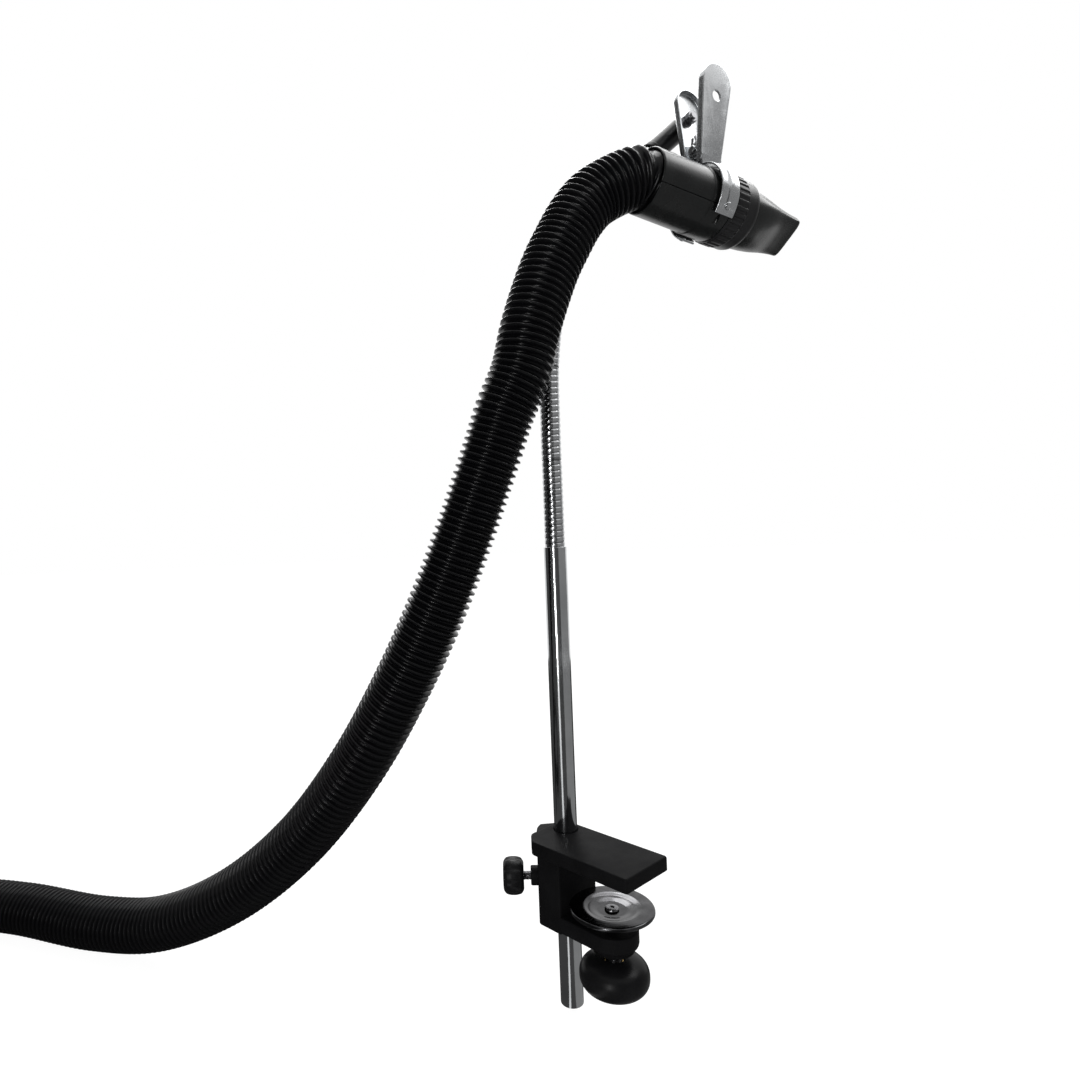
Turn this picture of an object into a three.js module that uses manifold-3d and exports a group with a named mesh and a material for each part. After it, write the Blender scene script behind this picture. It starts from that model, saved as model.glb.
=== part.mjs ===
import * as THREE from "three";
import { mergeVertices } from "three/addons/utils/BufferGeometryUtils.js";
import Module from "manifold-3d";

const wasm = await Module();
wasm.setup();

// A pet dryer's air hose and nozzle on a table clamp. Sizes are in millimetres, +Z is up.
// The origin is the middle of the upper jaw's flat underside, on the clamp screw's axis.

// ---- gaps and small edges ----
const gap = 0.3; // between pieces that seat on or run in each other
const edge = 0.8; // broken edges of the casting
const wallOfSteel = 1.4; // pressed steel of the clip
const roundSides = 20; // facets round a turned piece

// ---- table clamp ----
const jawLength = 86;
const jawTip = 28.5; // tip of the upper jaw beyond the screw's axis
const jawWidth = 44;
const jawThickness = 9;
const jawCorner = 9.5; // cut corner beside the rod
const jawOpening = 37; // upper jaw to lower arm
const throatDepth = 29.5; // screw's axis to the column
const armThickness = 11.5;
const armWidth = 33;
const bossRadius = 13.5; // foot of the boss under the arm's tip
const bossRoot = 15.1; // boss where it leaves the arm
const bossDrop = 2.5;
const columnRadius = 20.4; // outside of the column round the rod
const columnShoulder = 6.5; // where the column's far side turns, behind the rod's axis
const columnCorner = 14; // its cut corner, behind the rod's axis
const columnCornerSide = 3.3; // and beside it
const columnFoot = 3; // where its near side ends, behind the rod's axis
const columnRound = [-166, -127]; // its round stretch, in degrees about the rod

// ---- clamp screw, pressure disc and knob ----
const screwRadius = 4.9;
const neckRadius = 3; // swaged end that holds the disc
const rivetRadius = 4.6;
const discRadius = 27;
const discRim = 2.6;
const discDish = 2.2; // how deep the disc's face is dished
const hubRadius = 8.5;
const hubDepth = 4.9;
const tableGap = 24.4; // disc's rim to the upper jaw
const knobRadius = 22.3;
const knobHeight = 23;
const knobDrop = 4.8; // knob's top below the boss
const knobSquareness = 2.5; // exponent of the knob's rounded section
const insertRadius = 7.4;
const insertLength = 13;

// ---- rod and its thumbscrew ----
const rodRadius = 8;
const rodWall = 1.2;
const rodLength = 317.4;
const rodBelow = 111; // lower end of the rod below the upper jaw
const rodSetback = 45.5; // rod's axis behind the screw's axis
const rodShift = 10.3; // rod's axis to the side of the screw's axis
const plugLength = 11;
const lockHeight = 23.3; // thumbscrew below the upper jaw
const lockBossRadius = 6.5;
const lockBossRoot = 12; // inside the column
const lockBossReach = 25.6; // from the rod's axis
const lockScrewRadius = 2.9;
const lockTipLength = 2.6;
const lockHeadRadius = 12.35;
const lockHeadLength = 14.4;
const lockHeadReach = 30.5;

// ---- flexible neck ----
const linkRadius = 7.15;
const linkValley = 6.35;
const ridgePitch = 5.6;
const ballRadius = 6.5;
const socketRadius = 7.3;
const spigotRadius = 6.4;
const spigotLength = 24; // inside the rod
const linkLength = 66;
const firstLink = 60;
const linkSides = 8;

// ---- handle, collar and nozzle, along the handle's axis from its rim ----
const headPlace = new THREE.Vector3(52.1, 48.2, 254.5); // handle's rim from the rod's top
const headYaw = 75.35;
const headDip = 5.5;
const rimRadius = 22.3;
const gripRadius = 22.8;
const frontRadius = 24;
const gripLength = 45;
const shellLength = 64.7;
const spigotWall = 3.2;
const frontSpigot = 16.5; // shells' spigot inside the collar
const shellWall = 4.5;
const hoseDepth = 41.6; // hose inside the handle
const stopHeight = 3;
const stopRingThickness = 1.2;
const seamTurn = 28; // seam's turn about the handle's axis
const shellScrewRadius = 0.9;
const shellScrewHead = 1.5;
const shellScrewLength = 6.8;
const shellScrewSide = 21.2; // from the handle's axis, within the wall
const shellScrewPlace = 56;
const collarRadius = 25;
const collarLength = 24.5;
const collarLip = 3;
const knurls = 32;
const knurlDepth = 0.8;
const flangeThickness = 2.5;
const sealThickness = 2;
const nozzleRadius = 21.4;
const nozzleLength = 56; // collar to mouth
const nozzleWall = 1.8;
const mouthWidth = 30;
const mouthHeight = 11;
const mouthTurn = 142.3;

// ---- spring clip round the handle ----
const clipBack = 7.7; // middle of the clip behind the collar's end of the shells
const clipRoll = -5.1;
const bandWidth = 17;
const bandInset = 1.6; // band's inside from the handle
const bandStart = 70;
const bandEnd = -46;
const leverTop = 28; // width near the rounded top
const leverFoot = 20; // width where the lever meets the band
const leverLength = 75;
const footSink = 0.6; // plain foot of a lever, sunk in the band below and run up into the lever above
const footRise = 6;
const flangeDepth = 5;
const frontLeverLean = 9;
const rearLeverLean = 3;
const pinHeight = 41;
const pinRadius = 2.5;
const pinHead = 3.4;
const earRadius = 4.6;
const earFoot = 6; // ear on the lever, from the lever's foot
const earHead = 26;
const earRound = [75, 285]; // its round end, in degrees about the pin
const padThickness = 1;
const padLength = 40; // degrees of the band that the pad covers
const padRivetRadius = 1.5;
const springWire = 0.9;
const springRadius = 4.7;
const springPitch = 2.3;
const springTurns = 3.5;
const springLeg = 22; // above the pin

// ---- swivel between the neck and the clip ----
const swivelHeight = 51.5; // up the rear lever from its foot
const swivelReach = 10.8; // sleeve's axis behind the rear lever
const swivelRadius = 6.5;
const boltRadius = 2.5;
const boltHead = 4.6;
const boltHeadHeight = 3.5;
const nutHeight = 4;
const boltTail = 1.5; // bolt beyond its nut
const washerRadius = 5.5;
const washerThickness = 1;
const sleeveRadius = 8.6;
const sleeveMouth = new THREE.Vector3(28.65, 50.1, -24.3); // in the clip's own frame
const sleeveEnd = 7; // sleeve beyond the bolt
const sleeveBore = 25;

// ---- air hose, its coil and its blower end ----
const hoseRadius = 20.5;
const hoseValley = 18.9;
const hoseBore = 17.6;
const ribPitch = 7.4;
const coilRadius = 236;
const coilSpacing = 42.6;
const coilTurns = 1;
const coilCurl = 15; // how fast the last stretch curls inwards, per radian squared
const coilCurlTurn = 75; // turn past the whole one
const coilLevel = -94.8;
const cuffLevel = -92.2;
const endRun = 62; // straight end of the coil
const cuffRadius = 24.2;
const cuffLength = 66;
const cuffInside = 41; // hose inside the cuff
const ringRadius = 24.6;
const ringLength = 14;
const tieWidth = 8;
const tieThickness = 0.9;
const tieTurn = 15;

// ---- finishes, as photographed ----
const finish = (color, roughness, metalness) =>
  new THREE.MeshStandardMaterial({ color, roughness, metalness });
const castBlack = finish(0x1b1c1d, 0.5, 0.1);
const darkSteel = finish(0x5a5b5c, 0.25, 0.9);
const chrome = finish(0xc9cbcc, 0.12, 1);
const glossBlack = finish(0x0b0c0d, 0.22, 0);
const satinBlack = finish(0x161718, 0.45, 0);
const rubber = finish(0x222324, 0.8, 0);
const brass = finish(0xb08d4f, 0.35, 0.9);

// ---- solids ----
const radians = THREE.MathUtils.degToRad;

// merges shared corners, drops flat triangles and turns the faces outwards
function closed(geometry) {
  geometry.deleteAttribute("normal");
  geometry.deleteAttribute("uv");
  const merged = mergeVertices(geometry, 1e-4);
  const index = merged.index.array;
  const kept = [];
  for (let i = 0; i < index.length; i += 3) {
    const [a, b, c] = [index[i], index[i + 1], index[i + 2]];
    if (a !== b && b !== c && c !== a) kept.push(a, b, c);
  }
  merged.setIndex(kept);
  if (volume(merged) < 0) merged.setIndex(kept.reverse());
  return merged;
}

function volume(geometry) {
  const [a, b, c] = [new THREE.Vector3(), new THREE.Vector3(), new THREE.Vector3()];
  const place = geometry.attributes.position;
  const index = geometry.index.array;
  let sum = 0;
  for (let i = 0; i < index.length; i += 3) {
    a.fromBufferAttribute(place, index[i]);
    b.fromBufferAttribute(place, index[i + 1]);
    c.fromBufferAttribute(place, index[i + 2]);
    sum += a.dot(b.cross(c)) / 6;
  }
  return sum;
}

function toSolid(geometry) {
  const { position } = geometry.attributes;
  const vertProperties = new Float32Array(position.array);
  const triVerts = new Uint32Array(geometry.index.array);
  return new wasm.Manifold(new wasm.Mesh({ numProp: 3, vertProperties, triVerts }));
}

function toGeometry(solid) {
  const { vertProperties, triVerts } = solid.getMesh();
  const geometry = new THREE.BufferGeometry();
  geometry.setAttribute("position", new THREE.BufferAttribute(vertProperties, 3));
  geometry.setIndex(new THREE.BufferAttribute(triVerts, 1));
  return geometry;
}

const combine = (how, first, others) =>
  toGeometry(others.reduce((sum, next) => sum[how](toSolid(next)), toSolid(first)));
const join = (first, ...others) => combine("add", first, others);
const cut = (first, ...others) => combine("subtract", first, others);
const common = (first, ...others) => combine("intersect", first, others);

// points of an arc, angles in degrees
const arc = (x, y, radius, from, to, steps) =>
  Array.from({ length: steps + 1 }, (_, i) => {
    const angle = radians(from + ((to - from) * i) / steps);
    return [x + radius * Math.cos(angle), y + radius * Math.sin(angle)];
  });

// an outline raised from one height to another, with broken edges if asked
function prism(outline, bottom, top, bevel = 0) {
  const shape = new THREE.Shape(outline.map(([x, y]) => new THREE.Vector2(x, y)));
  const geometry = new THREE.ExtrudeGeometry(shape, {
    depth: top - bottom - 2 * bevel,
    bevelEnabled: bevel > 0,
    bevelThickness: bevel,
    bevelSize: bevel,
    bevelOffset: -bevel,
    bevelSegments: 1,
  });
  return closed(geometry.translate(0, 0, bottom + bevel));
}

// a profile of [radius, height] pairs turned round Z
function turned(profile, sides = roundSides) {
  const points = profile.map(([radius, height]) => new THREE.Vector2(radius, height));
  return closed(new THREE.LatheGeometry(points, sides).rotateX(Math.PI / 2));
}

const rod = (radius, bottom, top, sides = roundSides) =>
  turned([[0, bottom], [radius, bottom], [radius, top], [0, top]], sides);

const ring = (inside, outside, bottom, top, sides = roundSides) =>
  turned([[inside, bottom], [outside, bottom], [outside, top], [inside, top], [inside, bottom]], sides);

// turns a shape's +Z to a direction and moves it to a place
function aim(geometry, place, direction) {
  const turn = new THREE.Quaternion().setFromUnitVectors(new THREE.Vector3(0, 0, 1), direction);
  return geometry.applyQuaternion(turn).translate(place.x, place.y, place.z);
}

// joins closed rings of points one after another: open ends get a flat cap, a loop closes
function skin(rings, loops) {
  const sides = rings[0].length;
  const corners = rings.flat();
  const faces = [];
  const spans = loops ? rings.length : rings.length - 1;
  for (let i = 0; i < spans; i++) {
    for (let j = 0; j < sides; j++) {
      const a = i * sides + j;
      const b = i * sides + ((j + 1) % sides);
      const c = ((i + 1) % rings.length) * sides + j;
      const d = ((i + 1) % rings.length) * sides + ((j + 1) % sides);
      faces.push(a, b, d, a, d, c);
    }
  }
  if (!loops) {
    const last = (rings.length - 1) * sides;
    for (let j = 1; j < sides - 1; j++) {
      faces.push(0, j + 1, j, last, last + j, last + j + 1);
    }
  }
  const geometry = new THREE.BufferGeometry();
  const numbers = corners.flatMap((corner) => corner.toArray());
  geometry.setAttribute("position", new THREE.Float32BufferAttribute(numbers, 3));
  geometry.setIndex(faces);
  return closed(geometry);
}

// rings round a curve: each is [place along the curve, push along its tangent, radius]
function ringsOn(curve, marks, sides) {
  const total = curve.getLength();
  const steps = Math.round(total);
  const frames = curve.computeFrenetFrames(steps, false);
  return marks.map(([place, push, radius]) => {
    const share = THREE.MathUtils.clamp(place / total, 0, 1);
    const k = Math.round(share * steps);
    const centre = curve.getPointAt(share).addScaledVector(curve.getTangentAt(share), push);
    return Array.from({ length: sides }, (_, i) => {
      const angle = (2 * Math.PI * i) / sides;
      return centre.clone()
        .addScaledVector(frames.normals[k], radius * Math.cos(angle))
        .addScaledVector(frames.binormals[k], radius * Math.sin(angle));
    });
  });
}

// least distance between stretches of a tube that are further apart along it than one bend
function leastGap(centres, radius, apart) {
  let least = Infinity;
  for (let i = 0; i < centres.length; i++) {
    for (let j = i + apart; j < centres.length; j++) {
      least = Math.min(least, centres[i].distanceTo(centres[j]) - 2 * radius);
    }
  }
  return least;
}

const dryer = new THREE.Group();

function part(name, geometry, material, parent = dryer) {
  const mesh = new THREE.Mesh(geometry, material);
  mesh.name = name;
  parent.add(mesh);
  return mesh;
}

// ---- table clamp ----
const armTop = -jawOpening;
const armBottom = armTop - armThickness;
const rodAxis = new THREE.Vector3(-rodSetback, rodShift, 0);
const lockWay = new THREE.Vector3(-1, -1, 0).normalize();
const lockPlace = rodAxis.clone().setZ(-lockHeight);

function clampBody() {
  const halfJaw = jawWidth / 2;
  const halfArm = armWidth / 2;
  const back = jawTip - jawLength;
  const plate = prism(
    [
      [jawTip, -halfJaw],
      [jawTip, halfJaw],
      [back, halfJaw],
      [back, jawCorner - halfJaw],
      [back + jawCorner, -halfJaw],
    ],
    0, jawThickness, edge,
  );
  const column = prism(
    [
      [-throatDepth, -halfArm],
      [-throatDepth, halfJaw],
      [rodAxis.x - columnShoulder, halfJaw],
      [rodAxis.x - columnCorner, rodAxis.y + columnCornerSide],
      ...arc(rodAxis.x, rodAxis.y, columnRadius, ...columnRound, 3),
      [rodAxis.x - columnFoot, -halfArm],
    ],
    armBottom, jawThickness - edge / 2, edge,
  );
  const root = -throatDepth - 8;
  const arm = prism(
    [...arc(0, 0, halfArm, -90, 90, 12), [root, halfArm], [root, -halfArm]],
    armBottom, armTop, edge,
  );
  const boss = turned([
    [0, armTop - 2],
    [bossRoot, armTop - 2],
    [bossRoot, armBottom + 1],
    [bossRadius, armBottom - bossDrop],
    [0, armBottom - bossDrop],
  ]);
  const lockBoss = aim(rod(lockBossRadius, lockBossRoot, lockBossReach, 16), lockPlace, lockWay);
  const lockHole = aim(rod(lockScrewRadius + gap, 5, lockBossReach + 1, 16), lockPlace, lockWay);
  const rodHole = rod(rodRadius + gap, armBottom - 1, jawThickness + 1);
  rodHole.translate(rodAxis.x, rodAxis.y, 0);
  const screwHole = rod(screwRadius + gap, armBottom - bossDrop - 1, armTop + 1);
  return cut(join(plate, column, arm, boss, lockBoss), rodHole, screwHole, lockHole);
}
part("clamp_body", clampBody(), castBlack);

// ---- clamp screw, pressure disc and knob ----
const discTop = -tableGap;
const discFloor = discTop - discDish;
const discUnder = discTop - discRim;
const hubBottom = discFloor - hubDepth;
const knobTop = armBottom - bossDrop - knobDrop;
const knobMiddle = knobTop - knobHeight / 2;
const screwEnd = knobTop - insertLength - 3;

part("pressure_disc", turned([
  [neckRadius + gap, discFloor],
  [hubRadius, discFloor],
  [discRadius - 3, discTop],
  [discRadius - 0.7, discTop],
  [discRadius, discTop - 0.7],
  [discRadius, discUnder + 0.5],
  [discRadius - 0.5, discUnder],
  [hubRadius + 3, discFloor - discRim],
  [hubRadius, hubBottom],
  [neckRadius + gap, hubBottom],
  [neckRadius + gap, discFloor],
]), darkSteel);

part("clamp_screw", turned([
  [0, discFloor + gap + 0.4],
  [1.3, discFloor + gap + 0.4],
  [1.5, discFloor + gap + 1.2],
  [rivetRadius - 0.8, discFloor + gap + 1.2],
  [rivetRadius, discFloor + gap + 0.5],
  [rivetRadius, discFloor + gap],
  [neckRadius, discFloor + gap],
  [neckRadius, hubBottom - gap],
  [screwRadius, hubBottom - gap],
  [screwRadius, screwEnd],
  [0, screwEnd],
]), darkSteel);

// rounded square section: |r/R|^n + |z/H|^n = 1, from the insert's pocket to the foot
function knobProfile() {
  const pocket = insertRadius + gap;
  const half = knobHeight / 2;
  const rim = half * (1 - (pocket / knobRadius) ** knobSquareness) ** (1 / knobSquareness);
  const points = [[0, screwEnd - 1], [pocket, screwEnd - 1], [pocket, knobMiddle + rim]];
  const start = Math.asin((pocket / knobRadius) ** (knobSquareness / 2));
  const steps = 10;
  for (let i = 1; i < steps; i++) {
    const angle = start + ((Math.PI - start) * i) / steps;
    const radius = knobRadius * Math.sin(angle) ** (2 / knobSquareness);
    const rise = Math.sign(Math.cos(angle)) * Math.abs(Math.cos(angle)) ** (2 / knobSquareness);
    points.push([radius, knobMiddle + half * rise]);
  }
  return [...points, [0, knobMiddle - half]];
}
part("clamp_knob", turned(knobProfile()), glossBlack);
part("knob_insert", ring(screwRadius + gap, insertRadius, screwEnd, screwEnd + insertLength), brass);

// ---- thumbscrew that locks the rod ----
const lock = new THREE.Group();
lock.position.copy(lockPlace);
lock.quaternion.setFromUnitVectors(new THREE.Vector3(0, 0, 1), lockWay);
dryer.add(lock);
const tipStart = rodRadius + gap;
const tipEnd = tipStart + lockTipLength;
const headEnd = lockHeadReach + lockHeadLength;
const lockScrewEnd = headEnd - 2;
part("rod_lock_tip", rod(lockScrewRadius, tipStart, tipEnd, 16), brass, lock);
part("rod_lock_screw", rod(lockScrewRadius, tipEnd + gap, lockScrewEnd, 16), darkSteel, lock);
part("rod_lock_knob", turned([
  [lockScrewRadius + gap, lockHeadReach],
  [lockHeadRadius - 3.2, lockHeadReach],
  [lockHeadRadius - 0.8, lockHeadReach + 1.8],
  [lockHeadRadius, lockHeadReach + lockHeadLength * 0.35],
  [lockHeadRadius, lockHeadReach + lockHeadLength * 0.65],
  [lockHeadRadius - 0.8, headEnd - 1.8],
  [lockHeadRadius - 3.2, headEnd],
  [0, headEnd],
  [0, lockScrewEnd + gap],
  [lockScrewRadius + gap, lockScrewEnd + gap],
  [lockScrewRadius + gap, lockHeadReach],
]), glossBlack, lock);

// ---- rod ----
const rodFoot = -rodBelow;
const rodTop = rodFoot + rodLength;
const rodBore = rodRadius - rodWall;
const mast = new THREE.Group();
mast.position.copy(rodAxis);
dryer.add(mast);
part("support_rod", ring(rodBore, rodRadius, rodFoot, rodTop), chrome, mast);
part("rod_end_plug", rod(rodBore - gap, rodFoot + 0.5, rodFoot + 0.5 + plugLength), satinBlack, mast);

// ---- head frame: +Z along the handle towards the mouth, +Y up, +X away from the front lever ----
const neckBase = new THREE.Vector3(rodAxis.x, rodAxis.y, rodTop);
const head = new THREE.Group();
const yaw = radians(headYaw);
const dip = radians(headDip);
const handleWay = new THREE.Vector3(
  Math.cos(dip) * Math.cos(yaw), Math.cos(dip) * Math.sin(yaw), -Math.sin(dip),
);
const sideWay = new THREE.Vector3(-Math.sin(yaw), Math.cos(yaw), 0);
const upWay = handleWay.clone().cross(sideWay);
head.position.copy(neckBase).add(headPlace);
head.quaternion.setFromRotationMatrix(new THREE.Matrix4().makeBasis(sideWay, upWay, handleWay));
dryer.add(head);

// ---- handle: two shells, their screws, and the stop ring behind the hose ----
const boreRadius = hoseRadius + 0.5;
const throatRadius = frontRadius - shellWall;
const spigotOutside = throatRadius + spigotWall;
const stopEnd = hoseDepth + gap * 2 + stopRingThickness + stopHeight;
const spigotEnd = shellLength + frontSpigot;

function handleRing() {
  return turned([
    [boreRadius, 0],
    [rimRadius - 0.5, 0],
    [rimRadius, 0.6],
    [gripRadius, gripLength],
    [gripRadius + 0.6, gripLength + 0.6],
    [frontRadius, shellLength],
    [spigotOutside, shellLength],
    [spigotOutside, spigotEnd],
    [throatRadius, spigotEnd],
    [throatRadius, stopEnd],
    [hoseBore, stopEnd],
    [hoseBore, stopEnd - stopHeight],
    [boreRadius, stopEnd - stopHeight],
    [boreRadius, 0],
  ]);
}

const screwSides = [-shellScrewSide, shellScrewSide];
const screwHeadSeat = -shellScrewLength / 2;
const inSeam = (geometry, side) =>
  geometry.rotateX(-Math.PI / 2).translate(side, 0, shellScrewPlace).rotateZ(radians(seamTurn));

// one shell is the ring's part on one side of the seam plane, less the screw holes
function shell(upper) {
  const reach = 2 * frontRadius;
  const half = prism(
    [[-reach, gap / 2], [reach, gap / 2], [reach, reach], [-reach, reach]],
    -1, spigotEnd + 1,
  ).rotateZ(radians(upper ? seamTurn : seamTurn + 180));
  const holes = screwSides.flatMap((side) => [
    inSeam(rod(shellScrewRadius + gap, screwHeadSeat - gap, -screwHeadSeat, 12), side),
    inSeam(rod(shellScrewHead + gap, -frontRadius, screwHeadSeat, 12), side),
  ]);
  return cut(common(handleRing(), half), ...holes);
}
part("handle_upper_shell", shell(true), glossBlack, head);
part("handle_lower_shell", shell(false), glossBlack, head);
screwSides.forEach((side, i) => {
  const screw = turned([
    [0, screwHeadSeat - gap - 1.8],
    [shellScrewHead, screwHeadSeat - gap - 1.8],
    [shellScrewHead, screwHeadSeat - gap],
    [shellScrewRadius, screwHeadSeat - gap],
    [shellScrewRadius, -screwHeadSeat - gap],
    [0, -screwHeadSeat - gap],
  ], 12);
  part(`handle_screw_${i + 1}`, inSeam(screw, side), darkSteel, head);
});
const stopRingStart = hoseDepth + gap;
const stopRing = ring(hoseBore, boreRadius - gap, stopRingStart, stopRingStart + stopRingThickness);
part("hose_stop_ring", stopRing, rubber, head);

// ---- collar, seal and flat nozzle ----
const sealStart = spigotEnd + gap;
const collarStart = shellLength + gap * 2;
const collarEnd = collarStart + collarLength;
const lipStart = collarEnd - collarLip;
const collarBore = spigotOutside + 0.4;

function collar() {
  const teeth = Array.from({ length: knurls * 2 }, (_, i) => {
    const radius = collarRadius - (i % 2) * knurlDepth;
    const angle = (Math.PI * i) / knurls;
    return [radius * Math.cos(angle), radius * Math.sin(angle)];
  });
  return cut(
    prism(teeth, collarStart, collarEnd, 0.6),
    rod(collarBore, collarStart - 1, lipStart),
    rod(nozzleRadius + gap, lipStart - 1, collarEnd + 1),
  );
}
part("nozzle_collar", collar(), satinBlack, head);
const seal = ring(throatRadius + 0.5, spigotOutside - 0.2, sealStart, sealStart + sealThickness);
part("collar_seal", seal, rubber, head);

// one ring of the nozzle: a circle at share 0 that flattens to the mouth's rounded slot at share 1
function nozzleRing(height, share, inset) {
  const half = [mouthWidth / 2, mouthHeight / 2].map(
    (mouth) => THREE.MathUtils.lerp(nozzleRadius, mouth, share) - inset,
  );
  const power = 2 / THREE.MathUtils.lerp(2, 4.5, share);
  const turn = radians(mouthTurn);
  const sides = 20;
  return Array.from({ length: sides }, (_, i) => {
    const angle = (2 * Math.PI * i) / sides;
    const x = half[0] * Math.sign(Math.cos(angle)) * Math.abs(Math.cos(angle)) ** power;
    const y = half[1] * Math.sign(Math.sin(angle)) * Math.abs(Math.sin(angle)) ** power;
    return new THREE.Vector3(
      x * Math.cos(turn) - y * Math.sin(turn), x * Math.sin(turn) + y * Math.cos(turn), height,
    );
  });
}

function nozzle() {
  const start = lipStart - gap - flangeThickness;
  const mouth = collarEnd + nozzleLength;
  const shares = [0, 0.15, 0.4, 0.65, 0.88, 1];
  const flare = [0, 0.08, 0.38, 0.75, 0.96, 1];
  const heights = shares.map((share) => THREE.MathUtils.lerp(collarEnd, mouth, share));
  const outside = heights.map((height, i) => nozzleRing(height, flare[i], 0));
  const inside = heights.map((height, i) => nozzleRing(height, flare[i], nozzleWall)).reverse();
  const round = (height, radius) => nozzleRing(height, 0, nozzleRadius - radius);
  return skin([
    round(start, spigotOutside - 0.2),
    round(start + flangeThickness, spigotOutside - 0.2),
    round(start + flangeThickness, nozzleRadius),
    ...outside,
    ...inside,
    round(start, nozzleRadius - nozzleWall),
  ], true);
}
part("flat_nozzle", nozzle(), satinBlack, head);

// ---- spring clip: its own frame has +X to the rear lever and +Y up through the pin ----
const clip = new THREE.Group();
clip.position.z = shellLength - clipBack;
clip.rotation.z = radians(clipRoll);
head.add(clip);
const bandInside = frontRadius + bandInset;
const bandOutside = bandInside + wallOfSteel;
const footHeight = bandOutside * Math.sin(radians(bandStart));
const footSide = bandOutside * Math.cos(radians(bandStart));
const pinPlace = new THREE.Vector3(0, pinHeight, 0);

// lever frame: origin at the lever's foot on its outer face, X along the clip, Y up, Z inwards
function leverFrame(side, lean) {
  const up = new THREE.Vector3(side * Math.sin(radians(lean)), Math.cos(radians(lean)), 0);
  const inwards = new THREE.Vector3(-side * up.y, side * up.x, 0);
  const frame = new THREE.Matrix4().makeBasis(up.clone().cross(inwards), up, inwards);
  return frame.setPosition(side * footSide, footHeight, 0);
}

// lever's face: straight sides that widen to a round top
function leverFace(inset, foot) {
  const top = leverTop / 2 - inset;
  const middle = leverLength - leverTop / 2;
  const half = leverFoot / 2 - inset;
  return [[-half, foot], [half, foot], ...arc(0, middle, top, 0, 180, 10)];
}

function jaw(way, lean, earPlace) {
  const frame = leverFrame(way, lean);
  const tray = cut(
    prism(leverFace(0, 3), 0, flangeDepth),
    prism(leverFace(wallOfSteel, -2), wallOfSteel, flangeDepth + 1),
  );
  const side = bandWidth / 2;
  const foot = prism(
    [[-side, -footSink], [side, -footSink], [side, footRise], [-side, footRise]], 0, wallOfSteel,
  );
  const boltHole = rod(boltRadius + gap, -1, flangeDepth, 16).translate(0, swivelHeight, 0);
  const lever = cut(join(tray, foot), boltHole).applyMatrix4(frame);
  const mirror = way > 0 ? ([x, y]) => [x, y] : ([x, y]) => [-x, y];
  const band = prism(
    [
      ...arc(0, 0, bandOutside, bandEnd, bandStart, 14),
      ...arc(0, 0, bandInside, bandStart, bandEnd, 14),
    ].map(mirror),
    -bandWidth / 2, bandWidth / 2,
  );
  const rise = Math.tan(radians(lean));
  const earRoot = footSide - wallOfSteel / 2;
  const earOutline = [
    [earRoot + rise * earFoot, footHeight + earFoot],
    [earRoot + rise * earHead, footHeight + earHead],
    ...arc(0, pinHeight, earRadius, ...earRound, 10),
  ].map(mirror);
  const ears = [-1, 1].map((end) => {
    const near = end > 0 ? earPlace : -earPlace - wallOfSteel;
    return prism(earOutline, near, near + wallOfSteel);
  });
  const pinHole = rod(pinRadius + gap, -bandWidth, bandWidth).translate(0, pinHeight, 0);
  return cut(join(band, lever, ...ears), pinHole, rivetHole(way));
}

const rivetAngle = -33;
const rivetWay = (side) =>
  new THREE.Vector3(side * Math.cos(radians(rivetAngle)), Math.sin(radians(rivetAngle)), 0);
const padInside = frontRadius + gap;
const clipAxis = new THREE.Vector3();
const rivetHole = (side) =>
  aim(rod(padRivetRadius + gap, padInside - 1, bandOutside + 1, 12), clipAxis, rivetWay(side));

function pad(side) {
  const outline = [
    ...arc(0, 0, padInside + padThickness, bandEnd, bandEnd + padLength, 6),
    ...arc(0, 0, padInside, bandEnd + padLength, bandEnd, 6),
  ].map(([x, y]) => [side * x, y]);
  return cut(prism(outline, 1 - bandWidth / 2, bandWidth / 2 - 1), rivetHole(side));
}

const padRivet = (side) => aim(turned([
  [0, padInside + 0.3],
  [padRivetRadius, padInside + 0.3],
  [padRivetRadius, bandOutside + gap],
  [padRivetRadius * 1.9, bandOutside + gap],
  [padRivetRadius * 1.3, bandOutside + gap + 1],
  [0, bandOutside + gap + 1.3],
], 12), clipAxis, rivetWay(side));

const frontEar = bandWidth / 2 - wallOfSteel;
const rearEar = frontEar - wallOfSteel - gap;
[
  ["front", -1, frontLeverLean, frontEar],
  ["rear", 1, rearLeverLean, rearEar],
].forEach(([name, side, lean, earPlace]) => {
  part(`clip_${name}_lever`, jaw(side, lean, earPlace), chrome, clip);
  part(`clip_${name}_pad`, pad(side), rubber, clip);
  part(`clip_${name}_rivet`, padRivet(side), chrome, clip);
});

const pinEnd = bandWidth / 2 + gap;
part("clip_pin", turned([
  [0, -pinEnd - 1.2],
  [pinHead - 0.5, -pinEnd - 1.2],
  [pinHead, -pinEnd],
  [pinRadius, -pinEnd],
  [pinRadius, pinEnd],
  [pinHead, pinEnd],
  [pinHead - 0.5, pinEnd + 1.2],
  [0, pinEnd + 1.2],
]).translate(0, pinHeight, 0), chrome, clip);

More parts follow.
